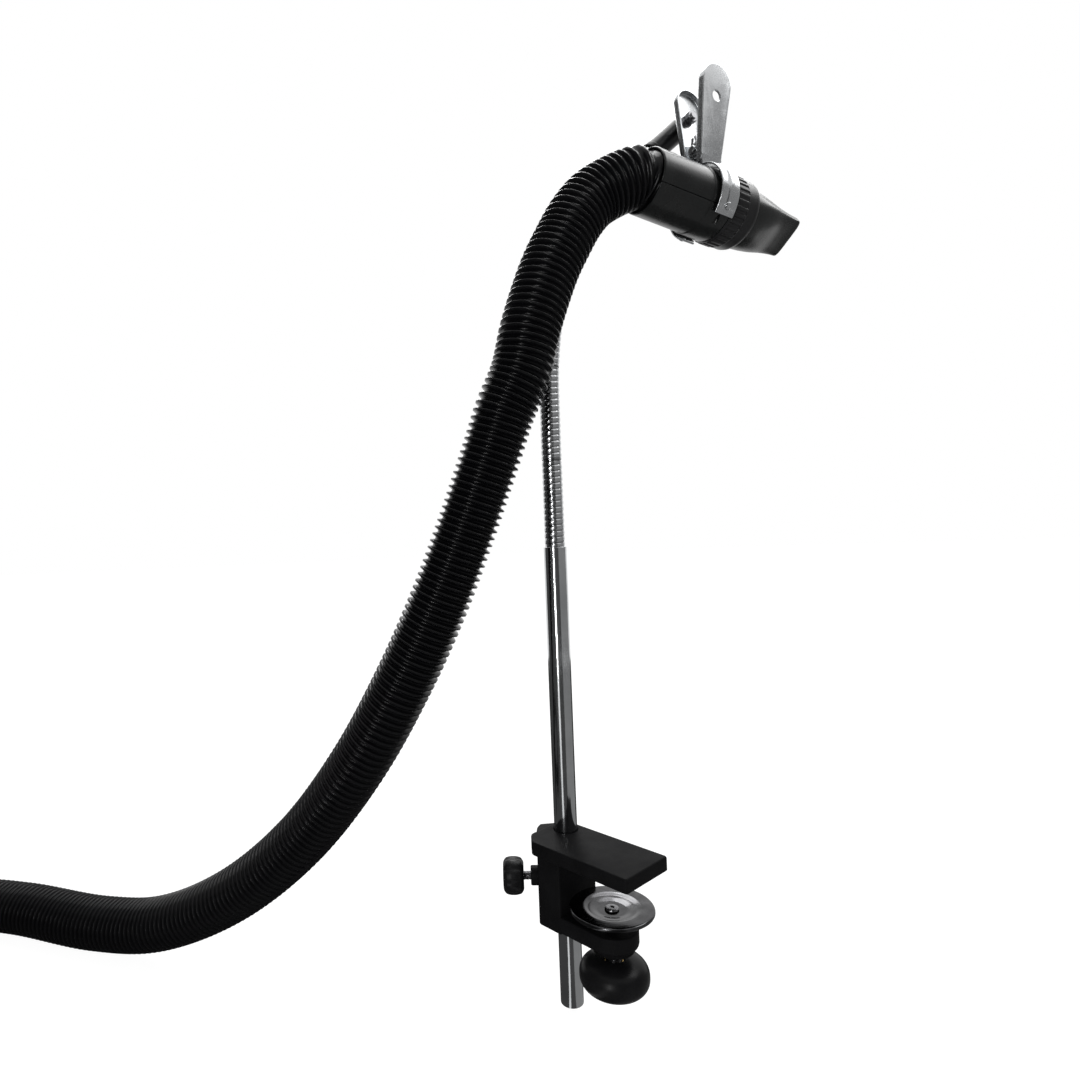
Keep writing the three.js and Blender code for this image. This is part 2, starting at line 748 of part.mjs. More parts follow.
// spring: a leg down from the front lever, the curls round the pin, a leg up to the rear lever
function spring() {
  const half = (springTurns * springPitch) / 2;
  const legTop = pinHeight + springLeg;
  const legEnd = (side, lean) => {
    const face = footSide + Math.tan(radians(lean)) * (legTop - footHeight);
    const reach = face - wallOfSteel * 1.02 - springWire - gap;
    return new THREE.Vector3(side * reach, legTop, side * half);
  };
  const bend = (side) => [
    new THREE.Vector3(side * springRadius, pinHeight + 2.5, side * half),
    new THREE.Vector3(side * (springRadius + 0.3), pinHeight + 6, side * half),
  ];
  const curls = Math.round(springTurns * 8);
  const coil = Array.from({ length: curls + 1 }, (_, i) => {
    const share = i / curls;
    const angle = Math.PI + share * springTurns * 2 * Math.PI;
    return new THREE.Vector3(
      springRadius * Math.cos(angle),
      pinHeight + springRadius * Math.sin(angle),
      THREE.MathUtils.lerp(-half, half, share),
    );
  });
  const centres = [
    legEnd(-1, frontLeverLean), ...bend(-1).reverse(), ...coil, ...bend(1), legEnd(1, rearLeverLean),
  ];
  console.log("clip spring's least gap", leastGap(coil, springWire, 6).toFixed(2));
  return tube(centres, springWire, 5);
}

// a plain tube through points: each ring lies square to the middle of its two neighbours
function tube(centres, radius, sides, bore = 0) {
  const ways = centres.map((_, i) => {
    const from = centres[Math.max(i - 1, 0)];
    const to = centres[Math.min(i + 1, centres.length - 1)];
    return to.clone().sub(from).normalize();
  });
  let normal = new THREE.Vector3(0, 0, 1);
  const frames = ways.map((way) => {
    normal = normal.clone().addScaledVector(way, -normal.dot(way)).normalize();
    return [normal, way.clone().cross(normal)];
  });
  const rings = (size) => centres.map((centre, i) =>
    Array.from({ length: sides }, (_, k) => {
      const angle = (2 * Math.PI * k) / sides;
      return centre.clone()
        .addScaledVector(frames[i][0], size * Math.cos(angle))
        .addScaledVector(frames[i][1], size * Math.sin(angle));
    }));
  if (bore === 0) return skin(rings(radius), false);
  return skin([...rings(radius), ...rings(bore).reverse()], true);
}
part("clip_spring", spring(), chrome, clip);

// ---- swivel: a bolt through the rear lever carries the neck's sleeve ----
const rearFrame = leverFrame(1, rearLeverLean);
const swivel = new THREE.Group();
const outwards = new THREE.Vector3(0, 0, -1).transformDirection(rearFrame);
swivel.position.set(0, swivelHeight, 0).applyMatrix4(rearFrame);
swivel.quaternion.setFromUnitVectors(new THREE.Vector3(0, 0, 1), outwards);
clip.add(swivel);
const bossStart = washerThickness + gap * 2;
const bossEnd = swivelReach + sleeveRadius + 0.6;
const nutEnd = -wallOfSteel - gap - nutHeight;
const hexagon = (radius, bottom, top) => prism(arc(0, 0, radius, 0, 300, 5), bottom, top, 0.4);
part("swivel_washer", ring(boltRadius + gap, washerRadius, gap, gap + washerThickness), darkSteel, swivel);
part("swivel_nut", cut(
  hexagon(boltHead, nutEnd, -wallOfSteel - gap),
  rod(boltRadius + gap, nutEnd - 1, 0),
), darkSteel, swivel);
part("swivel_bolt", join(
  hexagon(boltHead, bossEnd + gap, bossEnd + gap + boltHeadHeight),
  rod(boltRadius, nutEnd - boltTail, bossEnd + gap + 1),
), darkSteel, swivel);

swivel.updateWorldMatrix(true, false);
clip.updateWorldMatrix(true, false);
const boltCross = new THREE.Vector3(0, 0, swivelReach).applyMatrix4(swivel.matrixWorld);
const mouthPlace = sleeveMouth.clone().applyMatrix4(clip.matrixWorld);
const sleeveWay = boltCross.clone().sub(mouthPlace).normalize();
const sleeveLength = boltCross.distanceTo(mouthPlace) + sleeveEnd;

function neckFitting() {
  const boss = rod(swivelRadius, bossStart, bossEnd).applyMatrix4(swivel.matrixWorld);
  const hole = rod(boltRadius + gap, bossStart - 1, bossEnd + 1).applyMatrix4(swivel.matrixWorld);
  const sleeve = aim(turned([
    [0, 0],
    [sleeveRadius - 0.6, 0],
    [sleeveRadius, 0.6],
    [sleeveRadius, sleeveLength - 2],
    [sleeveRadius - 2, sleeveLength],
    [0, sleeveLength],
  ]), mouthPlace, sleeveWay);
  const bore = aim(rod(linkRadius + gap + 0.05, -1, sleeveBore), mouthPlace, sleeveWay);
  return cut(join(sleeve, boss), bore, hole);
}
part("neck_fitting", neckFitting(), castBlack);

// ---- flexible neck: five links, each a ball that turns in the next link's socket ----
const neckBends = [
  [0, 0, -spigotLength],
  [0, 0, -spigotLength / 2],
  [0, 0, 0],
  [0, 0, 42],
  [0, 0, 83.6],
  [0.2, 1.3, 131.6],
  [2, 9.7, 177.6],
  [4.5, 20.7, 204.2],
  [8.5, 36.6, 231.4],
  [14.2, 57.5, 258.1],
  [21, 75.9, 280.4],
];
const neckCurve = new THREE.CatmullRomCurve3([
  ...neckBends.map(([x, y, z]) => new THREE.Vector3(x, y, z).add(neckBase)),
  mouthPlace,
  mouthPlace.clone().addScaledVector(sleeveWay, (sleeveBore - gap) / 2),
  mouthPlace.clone().addScaledVector(sleeveWay, sleeveBore - gap),
], false, "centripetal");
const neckTotal = neckCurve.getLength();
const neckBreaks = [0, 1, 2, 3].map((i) => spigotLength + firstLink + i * linkLength);

// marks of one link: socket or spigot, ridges, then ball or plain end
function linkMarks(from, to, first, last) {
  const rim = Math.sqrt(socketRadius ** 2 - linkRadius ** 2);
  const start = first ? spigotLength + gap : from + rim;
  const ridges = Math.max(2, Math.round((to - start) / ridgePitch));
  const foot = first
    ? [[0, 0, spigotRadius], [start, 0, spigotRadius]]
    : [90, 72, 54, 36].map((angle) => [
      from, socketRadius * Math.sin(radians(angle)), Math.max(0.01, socketRadius * Math.cos(radians(angle))),
    ]);
  const body = Array.from({ length: ridges * 2 + 1 }, (_, i) => [
    start + ((to - start) * i) / (ridges * 2), 0, i % 2 ? linkValley : linkRadius,
  ]);
  if (!first) body[0] = [from, rim, linkRadius];
  const ball = [0, 18, 36, 54, 72, 90].map((angle) => [
    to, ballRadius * Math.sin(radians(angle)), Math.max(0.01, ballRadius * Math.cos(radians(angle))),
  ]);
  return [...foot, ...body, ...(last ? [] : ball)];
}

const linkEnds = [0, ...neckBreaks, neckTotal];
for (let i = 0; i < 5; i++) {
  const marks = linkMarks(linkEnds[i], linkEnds[i + 1], i === 0, i === 4);
  const pivot = i === 0 ? neckBase : neckCurve.getPointAt(linkEnds[i] / neckTotal);
  const geometry = skin(ringsOn(neckCurve, marks, linkSides), false);
  geometry.translate(-pivot.x, -pivot.y, -pivot.z);
  part(`gooseneck_${i + 1}`, geometry, chrome).position.copy(pivot);
}

// ---- air hose: from the handle down to the floor, points chosen along its route ----
head.updateWorldMatrix(true, false);
const onAxis = (height) => new THREE.Vector3(0, 0, height).applyMatrix4(head.matrixWorld);
const hoseRoute = [
  [-11.5, 26.4, 446.5], [-18, 13.2, 430.6],
  [-22.3, 3.8, 413.6], [-26, -4.9, 396.3], [-29.1, -12.8, 376.4], [-32.7, -21.4, 350.2],
  [-36.4, -27.6, 322.7], [-44.5, -35.7, 297.3], [-51.7, -41.8, 271.1], [-59.2, -48.1, 245],
  [-66.7, -54.5, 219.3], [-81.5, -67.5, 172.1], [-104.2, -82.6, 118.7], [-139, -99, 59.5],
  [-190.4, -119.2, -2.4], [-251.8, -147.5, -54], [-315.4, -180.4, -86.2], [-372, -211.2, -95.6],
  [-450, -255.2, -95.4], [-499.5, -292.5, -95.2], [-537.4, -341, -95.1], [-561.5, -397.7, -95],
].map(([x, y, z]) => new THREE.Vector3(x, y, z));
const hoseEnd = new THREE.Vector3(-570, -506.3, coilLevel);
const hoseHeading = new THREE.Vector3(0, -1, 0);
const straightEnd = [45, 22, 0].map((back) => hoseEnd.clone().addScaledVector(hoseHeading, -back));
const hoseCurve = new THREE.CatmullRomCurve3([
  ...[1, 0.66, 0.33, 0, -0.15].map((share) => onAxis(hoseDepth * share)),
  ...hoseRoute, ...straightEnd,
], false, "centripetal");

// ribs are pairs of rings, the bore has a ring every five ribs
function ribbedHose() {
  const total = hoseCurve.getLength();
  const ribs = Math.round(total / ribPitch);
  const outside = Array.from({ length: ribs * 2 + 1 }, (_, i) => [
    (total * i) / (ribs * 2), 0, i % 2 ? hoseValley : hoseRadius,
  ]);
  const bores = Math.ceil(ribs / 5);
  const inside = Array.from({ length: bores + 1 }, (_, i) => [(total * (bores - i)) / bores, 0, hoseBore]);
  return skin(ringsOn(hoseCurve, [...outside, ...inside], 8), true);
}
part("dryer_hose", ribbedHose(), glossBlack);

// the stored length: one flat turn that winds inwards and curls in further at its end
function coilCentres() {
  const rate = coilSpacing / (2 * Math.PI);
  const heading = Math.atan2(hoseHeading.y, hoseHeading.x);
  const begin = heading - Math.PI / 2 - Math.atan(rate / coilRadius);
  const lead = hoseEnd.clone().addScaledVector(hoseHeading, 2 * hoseRadius);
  const centre = new THREE.Vector3(
    lead.x - coilRadius * Math.cos(begin), lead.y - coilRadius * Math.sin(begin), 0,
  );
  const whole = coilTurns * 2 * Math.PI;
  const curl = radians(coilCurlTurn);
  const afterTie = whole + radians(tieTurn + 4);
  const drawIn = (angle) => Math.max(0, angle - afterTie);
  const steps = Math.round(24 * (coilTurns + coilCurlTurn / 360));
  const wound = Array.from({ length: steps + 1 }, (_, i) => {
    const angle = ((whole + curl) * i) / steps;
    const radius = coilRadius - rate * angle - coilCurl * drawIn(angle) ** 2;
    const rise = THREE.MathUtils.smoothstep(angle, afterTie, whole + curl);
    return new THREE.Vector3(
      centre.x + radius * Math.cos(begin + angle),
      centre.y + radius * Math.sin(begin + angle),
      THREE.MathUtils.lerp(coilLevel, cuffLevel, rise),
    );
  });
  const start = hoseEnd.clone().addScaledVector(hoseHeading, gap);
  const angle = whole + curl;
  const radius = coilRadius - rate * angle - coilCurl * drawIn(angle) ** 2;
  const inwards = -rate - 2 * coilCurl * drawIn(angle);
  const turn = begin + angle;
  const exit = new THREE.Vector3(
    inwards * Math.cos(turn) - radius * Math.sin(turn),
    inwards * Math.sin(turn) + radius * Math.cos(turn),
    0,
  ).normalize();
  const last = wound.at(-1).clone();
  const end = last.clone().addScaledVector(exit, endRun);
  const place = (turnAngle) => ({
    centre: centre.clone().setZ(coilLevel),
    angle: begin + turnAngle,
    middle: coilRadius - rate * (turnAngle + Math.PI),
  });
  return { points: [start, ...wound, end], exit, end, place };
}
const coil = coilCentres();
part("hose_coil", tube(coil.points, hoseRadius, 6, hoseBore), glossBlack);
console.log("hose coil's least gap", leastGap(coil.points.slice(1, -1), hoseRadius, 12).toFixed(2));

// ---- tie round the two strands of the coil ----
const tiePlace = coil.place(radians(tieTurn));
const tie = new THREE.Group();
tie.position.set(
  tiePlace.centre.x + tiePlace.middle * Math.cos(tiePlace.angle),
  tiePlace.centre.y + tiePlace.middle * Math.sin(tiePlace.angle),
  coilLevel,
);
tie.rotation.z = tiePlace.angle;
dryer.add(tie);
function tieLoop() {
  const half = coilSpacing / 2;
  const round = (radius) => [
    ...arc(half, 0, radius, -90, 90, 16), ...arc(-half, 0, radius, 90, 270, 16),
  ];
  const inside = hoseRadius + gap * 2.5;
  const loop = (radius, reach) => prism(round(radius), -reach, reach);
  return cut(loop(inside + tieThickness, tieWidth / 2), loop(inside, tieWidth)).rotateX(Math.PI / 2);
}
part("hose_tie", tieLoop(), rubber, tie);

// ---- blower end: a cuff over the hose's end, with its locking ring ----
const cuff = new THREE.Group();
cuff.position.copy(coil.end);
cuff.quaternion.setFromUnitVectors(new THREE.Vector3(0, 0, 1), coil.exit);
dryer.add(cuff);
const cuffMouth = cuffLength - cuffInside;
part("blower_cuff", turned([
  [hoseRadius + gap, -cuffInside],
  [cuffRadius - 1.5, -cuffInside],
  [cuffRadius, -cuffInside + 2],
  [cuffRadius, 2],
  [hoseRadius + 0.6, 4],
  [hoseRadius + 0.6, cuffMouth],
  [hoseBore, cuffMouth],
  [hoseBore, gap],
  [hoseRadius + gap, gap],
  [hoseRadius + gap, -cuffInside],
]), satinBlack, cuff);
part("cuff_ring", turned([
  [hoseRadius + 0.6 + gap, 4 + gap],
  [ringRadius - 1, 4 + gap],
  [ringRadius, 5 + gap],
  [ringRadius, 3 + gap + ringLength],
  [ringRadius - 1, 4 + gap + ringLength],
  [hoseRadius + 0.6 + gap, 4 + gap + ringLength],
  [hoseRadius + 0.6 + gap, 4 + gap],
]), glossBlack, cuff);

export default dryer;
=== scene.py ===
"""Looks of a pet dryer's air hose and nozzle on its table clamp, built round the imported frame."""
import math

import bmesh
import bpy
import numpy as np
from mathutils import Matrix


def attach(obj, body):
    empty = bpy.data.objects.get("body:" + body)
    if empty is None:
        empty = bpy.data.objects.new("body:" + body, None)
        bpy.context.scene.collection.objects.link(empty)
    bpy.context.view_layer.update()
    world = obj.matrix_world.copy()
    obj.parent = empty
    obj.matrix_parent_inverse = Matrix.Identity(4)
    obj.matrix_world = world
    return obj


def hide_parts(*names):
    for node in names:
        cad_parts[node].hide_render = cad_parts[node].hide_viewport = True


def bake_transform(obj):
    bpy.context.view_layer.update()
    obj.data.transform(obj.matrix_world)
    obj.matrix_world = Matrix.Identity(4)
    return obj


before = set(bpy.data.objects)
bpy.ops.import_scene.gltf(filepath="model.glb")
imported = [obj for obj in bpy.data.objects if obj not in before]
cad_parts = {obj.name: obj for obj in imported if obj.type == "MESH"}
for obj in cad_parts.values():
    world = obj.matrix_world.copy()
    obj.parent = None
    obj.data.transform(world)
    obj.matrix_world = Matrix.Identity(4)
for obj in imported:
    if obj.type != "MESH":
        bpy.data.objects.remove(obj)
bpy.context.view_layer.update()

MM = 0.001  # sizes below are in millimetres, meshes are in metres
GAP = 0.3  # between pieces that seat on or run in each other

# ---- table clamp ----
JAW_BACK, JAW_TIP, JAW_HALF = -57.5, 28.5, 22.0
JAW_THICK = 9.0
JAW_CORNER = 9.5
ARM_TOP, ARM_BOTTOM, ARM_HALF = -37.0, -48.5, 16.5
THROAT = -29.5  # face of the column behind the screw
COLUMN_RADIUS = 20.4
BOSS_RADIUS, BOSS_BOTTOM = 13.5, -51.0

# ---- screw, disc and knob ----
SCREW_RADIUS, SCREW_NECK, SCREW_PITCH = 4.9, 3.0, 1.5
DISC_RADIUS, DISC_TOP = 27.0, -24.4
DISC_DISH, DISC_RIM = 2.2, 2.6
HUB_RADIUS, HUB_BOTTOM = 8.5, -31.5
KNOB_RADIUS, KNOB_HALF, KNOB_MIDDLE = 22.3, 11.5, -67.3
SCREW_END = -71.8
INSERT_RADIUS, INSERT_LENGTH = 7.4, 13.0

# ---- rod and its thumbscrew ----
ROD_AXIS = np.array([-45.5, 10.3, 0.0])
ROD_RADIUS, ROD_BORE = 8.0, 6.8
ROD_FOOT, ROD_TOP = -111.0, 206.4
PLUG_RADIUS, PLUG_LENGTH = 6.5, 11.0
LOCK_HEIGHT = -23.3
LOCK_WAY = np.array([-1.0, -1.0, 0.0]) / math.sqrt(2)
LOCK_SCREW, LOCK_PITCH = 2.9, 1.0
LOCK_BOSS, LOCK_REACH = 6.5, 25.6
LOCK_HEAD, LOCK_START, LOCK_LENGTH = 12.35, 30.5, 14.4

# ---- neck ----
LINK_RADIUS, LINK_VALLEY, LINK_PITCH = 7.15, 6.3, 4.2
BALL_RADIUS, SOCKET_RADIUS = 6.5, 7.3
SPIGOT_RADIUS, SPIGOT_LENGTH = 6.4, 24.0
FIRST_LINK, LINK_LENGTH = 60.0, 66.0

# ---- handle, collar and nozzle, from the handle's rim ----
HEAD_PLACE = np.array([6.6, 58.5, 460.9])
HEAD_YAW, HEAD_DIP = math.radians(75.35), math.radians(5.5)
RIM_RADIUS, GRIP_RADIUS, FRONT_RADIUS = 22.3, 22.8, 24.0
GRIP_LENGTH, SHELL_LENGTH, SPIGOT_END = 45.0, 64.7, 81.2
BORE_RADIUS, THROAT_RADIUS, SPIGOT_OUTSIDE = 21.0, 19.5, 22.7
HOSE_DEPTH, STOP_END = 41.6, 46.4
STOP_INSIDE, STOP_RADIUS = 17.6, 20.7
SEAL_INSIDE, SEAL_RADIUS, SEAL_THICK = 20.0, 22.5, 2.0
SEAM_TURN = math.radians(28)
SHELL_SCREW_PLACE, SHELL_SCREW_SIDE = 56.0, 21.2
COLLAR_RADIUS, COLLAR_START, COLLAR_LENGTH, COLLAR_LIP = 25.0, 65.3, 24.5, 3.0
KNURL_END, KNURL_DEPTH, KNURLS = 13.5, 0.75, 32
NOZZLE_RADIUS, NOZZLE_LENGTH, NOZZLE_WALL = 21.4, 56.0, 1.8
MOUTH_WIDTH, MOUTH_HEIGHT = 30.0, 11.0
MOUTH_TURN = math.radians(142.3)

# ---- spring clip ----
CLIP_PLACE, CLIP_ROLL = 57.0, math.radians(-5.1)
STEEL = 1.4
BAND_WIDTH, BAND_INSIDE, BAND_BEAD = 17.0, 25.6, 0.9
BAND_START, BAND_END = 70.0, -46.0
LEVER_TOP, LEVER_FOOT, LEVER_LENGTH, FLANGE = 28.0, 20.0, 75.0, 5.0
FACE_START, FOOT_END = 2.2, 7.0  # up a lever: where its face begins, and where its foot plate ends
LEANS = {"front": (-1, math.radians(9.0)), "rear": (1, math.radians(3.0))}
PIN_HEIGHT, PIN_RADIUS, PIN_HEAD = 41.0, 2.5, 3.4
EAR_RADIUS = 4.6
PAD_INSIDE, PAD_THICK, PAD_HALF, PAD_SPAN = 24.3, 1.0, 7.5, 40
RIVET_RADIUS, RIVET_ANGLE = 1.5, math.radians(-33)
RIVET_HOLE = RIVET_RADIUS + GAP
SPRING_WIRE, SPRING_RADIUS, SPRING_PITCH, SPRING_TURNS, SPRING_LEG = 0.9, 4.7, 2.3, 3.5, 22
SWIVEL_HEIGHT, SWIVEL_REACH, SWIVEL_RADIUS = 51.5, 10.8, 6.5
BOLT_RADIUS, BOLT_HEAD, BOLT_HEAD_HEIGHT, NUT_HEIGHT = 2.5, 4.6, 3.5, 4.0
BOLT_BORE, FRONT_HOLE = BOLT_RADIUS + GAP, 3.8
WASHER_RADIUS, WASHER_THICK = 5.5, 1.0
SLEEVE_RADIUS, SLEEVE_INSIDE, SLEEVE_DEPTH, SLEEVE_END = 8.6, 7.5, 25.0, 7.0
GRUB_RADIUS, GRUB_FLOOR, GRUB_HEIGHTS = 1.7, 7.4, (9.0, 17.0)
SLEEVE_MOUTH = np.array([28.65, 50.1, -24.3])

# ---- hose ----
HOSE_RADIUS, HOSE_VALLEY, HOSE_BORE = 20.5, 17.5, 16.8
RIB_PITCH = 4.8
HOSE_START = 27.0  # how far inside the handle the hose is drawn
HANGING, LAYING = 420.0, 260.0  # run that hangs, and the run over which it comes to lie on the floor
COIL_RADIUS, COIL_SPACING = 236.0, 42.6
COIL_CURL, COIL_CURL_TURN = 15.0, math.radians(75)
COIL_LEVEL, CUFF_LEVEL = -94.8, -92.2
END_RUN = 62.0
CUFF_RADIUS, CUFF_LENGTH, CUFF_INSIDE = 24.2, 66.0, 41.0
RING_RADIUS, RING_START, RING_LENGTH, RING_GRIPS = 24.6, 4.3, 14.0, 40
TIE_WIDTH, TIE_THICK, TIE_TURN = 8.0, 0.9, math.radians(15)
FLOOR = -117.0


# ---------------------------------------------------------------- places
def unit(v):
    v = np.asarray(v, float)
    return v / np.linalg.norm(v, axis=-1, keepdims=True)


def basis(origin, x, y, z):
    """Place whose axes are x, y and z, as a 4 by 4 matrix."""
    place = np.eye(4)
    place[:3, 0], place[:3, 1], place[:3, 2], place[:3, 3] = x, y, z, origin
    return place


def aimed(origin, way):
    """Place at an origin, turned the shortest way from +Z to a direction: R = I + [v] + [v]²/(1 + c)."""
    x, y, c = way[0], way[1], way[2]
    cross = np.array([[0, 0, x], [0, 0, y], [-x, -y, 0]])
    place = np.eye(4)
    place[:3, :3] += cross + cross @ cross / (1 + c)
    place[:3, 3] = origin
    return place


def moved(origin):
    """Place moved to an origin, unturned."""
    return basis(origin, (1, 0, 0), (0, 1, 0), (0, 0, 1))


def turned_z(angle):
    """Place turned about Z by an angle."""
    c, s = math.cos(angle), math.sin(angle)
    return basis((0, 0, 0), (c, s, 0), (-s, c, 0), (0, 0, 1))


def put(points, place):
    """Points carried into a place: p' = R p + t."""
    return np.asarray(points, float) @ place[:3, :3].T + place[:3, 3]


HANDLE_WAY = np.array([
    math.cos(HEAD_DIP) * math.cos(HEAD_YAW), math.cos(HEAD_DIP) * math.sin(HEAD_YAW), -math.sin(HEAD_DIP),
])
SIDE_WAY = np.array([-math.sin(HEAD_YAW), math.cos(HEAD_YAW), 0.0])
HEAD = basis(HEAD_PLACE, SIDE_WAY, np.cross(HANDLE_WAY, SIDE_WAY), HANDLE_WAY)
CLIP = HEAD @ moved((0, 0, CLIP_PLACE)) @ turned_z(CLIP_ROLL)
PIN_PLACE = CLIP @ moved((0, PIN_HEIGHT, 0))
LOCK = aimed(ROD_AXIS + (0, 0, LOCK_HEIGHT), LOCK_WAY)
MAST = moved(ROD_AXIS)
HERE = np.eye(4)
BAND_OUTSIDE = BAND_INSIDE + STEEL
FOOT_HEIGHT = BAND_OUTSIDE * math.sin(math.radians(BAND_START))
FOOT_SIDE = BAND_OUTSIDE * math.cos(math.radians(BAND_START))


def lever_place(side, lean):
    """A lever's own place: origin at its foot on the outer face, Y up the lever, Z inwards."""
    up = np.array([side * math.sin(lean), math.cos(lean), 0.0])
    inwards = np.array([-side * up[1], side * up[0], 0.0])
    return basis((side * FOOT_SIDE, FOOT_HEIGHT, 0), np.cross(up, inwards), up, inwards)


REAR = lever_place(*LEANS["rear"])
SWIVEL = CLIP @ aimed(put([0, SWIVEL_HEIGHT, 0], REAR), -REAR[:3, 2])
BOLT_CROSS = put([0, 0, SWIVEL_REACH], SWIVEL)
MOUTH_PLACE = put(SLEEVE_MOUTH, CLIP)
SLEEVE_WAY = unit(BOLT_CROSS - MOUTH_PLACE)
SLEEVE = aimed(MOUTH_PLACE, SLEEVE_WAY)
SLEEVE_LENGTH = np.linalg.norm(BOLT_CROSS - MOUTH_PLACE) + SLEEVE_END


# ---------------------------------------------------------------- paths
def catmull(points, per=40):
    """Centripetal Catmull-Rom spline, `per` points to a span.

    Each span is a cubic whose end slopes weigh the neighbours by the roots of their distances.
    """
    p = np.asarray(points, float)
    p = np.vstack([2 * p[0] - p[1], p, 2 * p[-1] - p[-2]])
    p0, p1, p2, p3 = p[:-3], p[1:-2], p[2:-1], p[3:]
    d0, d1, d2 = (np.sqrt(np.linalg.norm(b - a, axis=1))[:, None]
                  for a, b in ((p0, p1), (p1, p2), (p2, p3)))
    s1 = ((p1 - p0) / d0 - (p2 - p0) / (d0 + d1) + (p2 - p1) / d1) * d1
    s2 = ((p2 - p1) / d1 - (p3 - p1) / (d1 + d2) + (p3 - p2) / d2) * d1
    t = (np.arange(per) / per)[None, :, None]
    p1, p2, s1, s2 = p1[:, None], p2[:, None], s1[:, None], s2[:, None]
    curve = p1 + s1 * t + (3 * (p2 - p1) - 2 * s1 - s2) * t ** 2 + (2 * (p1 - p2) + s1 + s2) * t ** 3
    return np.vstack([curve.reshape(-1, 3), p[-2]])


def lengths(path):
    return np.concatenate([[0], np.cumsum(np.linalg.norm(np.diff(path, axis=0), axis=1))])


def at(path, marks):
    """Points of a path at given lengths along it."""
    run = lengths(path)
    return np.stack([np.interp(marks, run, path[:, k]) for k in range(3)], -1)


def ways(path, marks, reach=0.5):
    """Unit tangents of a path at given lengths, from the chord to either side."""
    end = lengths(path)[-1]
    return unit(at(path, np.clip(marks + reach, 0, end)) - at(path, np.clip(marks - reach, 0, end)))


def swept(path, marks, radii, sides, reference, turn=0.0):
    """Rings round a path: centre(s) + r(s, a)·(cos a·n + sin a·b).

    n is the reference made square to the tangent, and b is square to both.
    """
    marks = np.asarray(marks, float)
    way = ways(path, marks)
    reference = np.broadcast_to(reference, way.shape)
    normal = unit(reference - way * np.sum(way * reference, 1)[:, None])
    other = np.cross(way, normal)
    angle = turn + 2 * np.pi * np.arange(sides) / sides
    radii = np.asarray(radii, float)
    radii = radii[:, None] if radii.ndim == 1 else radii
    spokes = np.cos(angle)[None, :, None] * normal[:, None] + np.sin(angle)[None, :, None] * other[:, None]
    return at(path, marks)[:, None] + radii[:, :, None] * spokes


HOSE_ROUTE = [
    (-11.5, 26.4, 446.5), (-18, 13.2, 430.6), (-22.3, 3.8, 413.6), (-26, -4.9, 396.3),
    (-29.1, -12.8, 376.4), (-32.7, -21.4, 350.2), (-36.4, -27.6, 322.7), (-44.5, -35.7, 297.3),
    (-51.7, -41.8, 271.1), (-59.2, -48.1, 245), (-66.7, -54.5, 219.3), (-81.5, -67.5, 172.1),
    (-104.2, -82.6, 118.7), (-139, -99, 59.5), (-190.4, -119.2, -2.4), (-251.8, -147.5, -54),
    (-315.4, -180.4, -86.2), (-372, -211.2, -95.6), (-450, -255.2, -95.4), (-499.5, -292.5, -95.2),
    (-537.4, -341, -95.1), (-561.5, -397.7, -95),
]


def coil_path():
    """The stored length: r = R - k·a - c·(a - a0)², a flat turn and its curled end, then straight.

    Returns the run before the coil, the coil, the way that the cuff faces and the tie's place.
    """
    end = np.array([-570, -506.3, COIL_LEVEL])
    heading = np.array([0.0, -1.0, 0.0])
    rate = COIL_SPACING / (2 * math.pi)
    begin = math.atan2(heading[1], heading[0]) - math.pi / 2 - math.atan(rate / COIL_RADIUS)
    lead = end + heading * 2 * HOSE_RADIUS
    centre = lead[:2] - COIL_RADIUS * np.array([math.cos(begin), math.sin(begin)])
    whole = 2 * math.pi
    after = whole + TIE_TURN + math.radians(4)
    last = whole + COIL_CURL_TURN
    a = np.linspace(0, last, 181)
    drawn = np.maximum(0, a - after)
    radius = COIL_RADIUS - rate * a - COIL_CURL * drawn ** 2
    share = np.clip((a - after) / (last - after), 0, 1)
    level = COIL_LEVEL + (CUFF_LEVEL - COIL_LEVEL) * share ** 2 * (3 - 2 * share)
    wound = np.stack([centre[0] + radius * np.cos(begin + a), centre[1] + radius * np.sin(begin + a),
                      level], -1)
    inwards = -rate - 2 * COIL_CURL * drawn[-1]
    turn = begin + last
    leave = unit([
        inwards * math.cos(turn) - radius[-1] * math.sin(turn),
        inwards * math.sin(turn) + radius[-1] * math.cos(turn), 0,
    ])
    finish = wound[-1] + leave * END_RUN
    straight = [end + heading * back for back in (-45, -22, 0, 20)]
    tie = begin + TIE_TURN
    middle = COIL_RADIUS - rate * (TIE_TURN + math.pi)
    tie_place = basis(
        (centre[0] + middle * math.cos(tie), centre[1] + middle * math.sin(tie), COIL_LEVEL),
        *turned_z(tie)[:3, :3].T,
    )
    return straight, np.vstack([wound, wound[-1] + leave * END_RUN * 0.5, finish]), leave, tie_place


STRAIGHT, WOUND, CUFF_WAY, TIE = coil_path()
CUFF = aimed(WOUND[-1], CUFF_WAY)
on_axis = put([(0, 0, HOSE_DEPTH * share) for share in (1, 0.66, 0.33, 0, -0.15)], HEAD)
hose_line = np.vstack([catmull([*on_axis, *HOSE_ROUTE, *STRAIGHT]), catmull(WOUND, 4)])
hose_line = at(hose_line, np.arange(HOSE_DEPTH - HOSE_START, lengths(hose_line)[-1], 1.5))
hose_total = lengths(hose_line)[-1]
rod_top = ROD_AXIS + (0, 0, ROD_TOP)
NECK_BENDS = [
    (0, 0, -24), (0, 0, -12), (0, 0, 0), (0, 0, 42), (0, 0, 83.6), (0.2, 1.3, 131.6), (2, 9.7, 177.6),
    (4.5, 20.7, 204.2), (8.5, 36.6, 231.4), (14.2, 57.5, 258.1), (21, 75.9, 280.4),
]
sleeve_run = SLEEVE_DEPTH - GAP
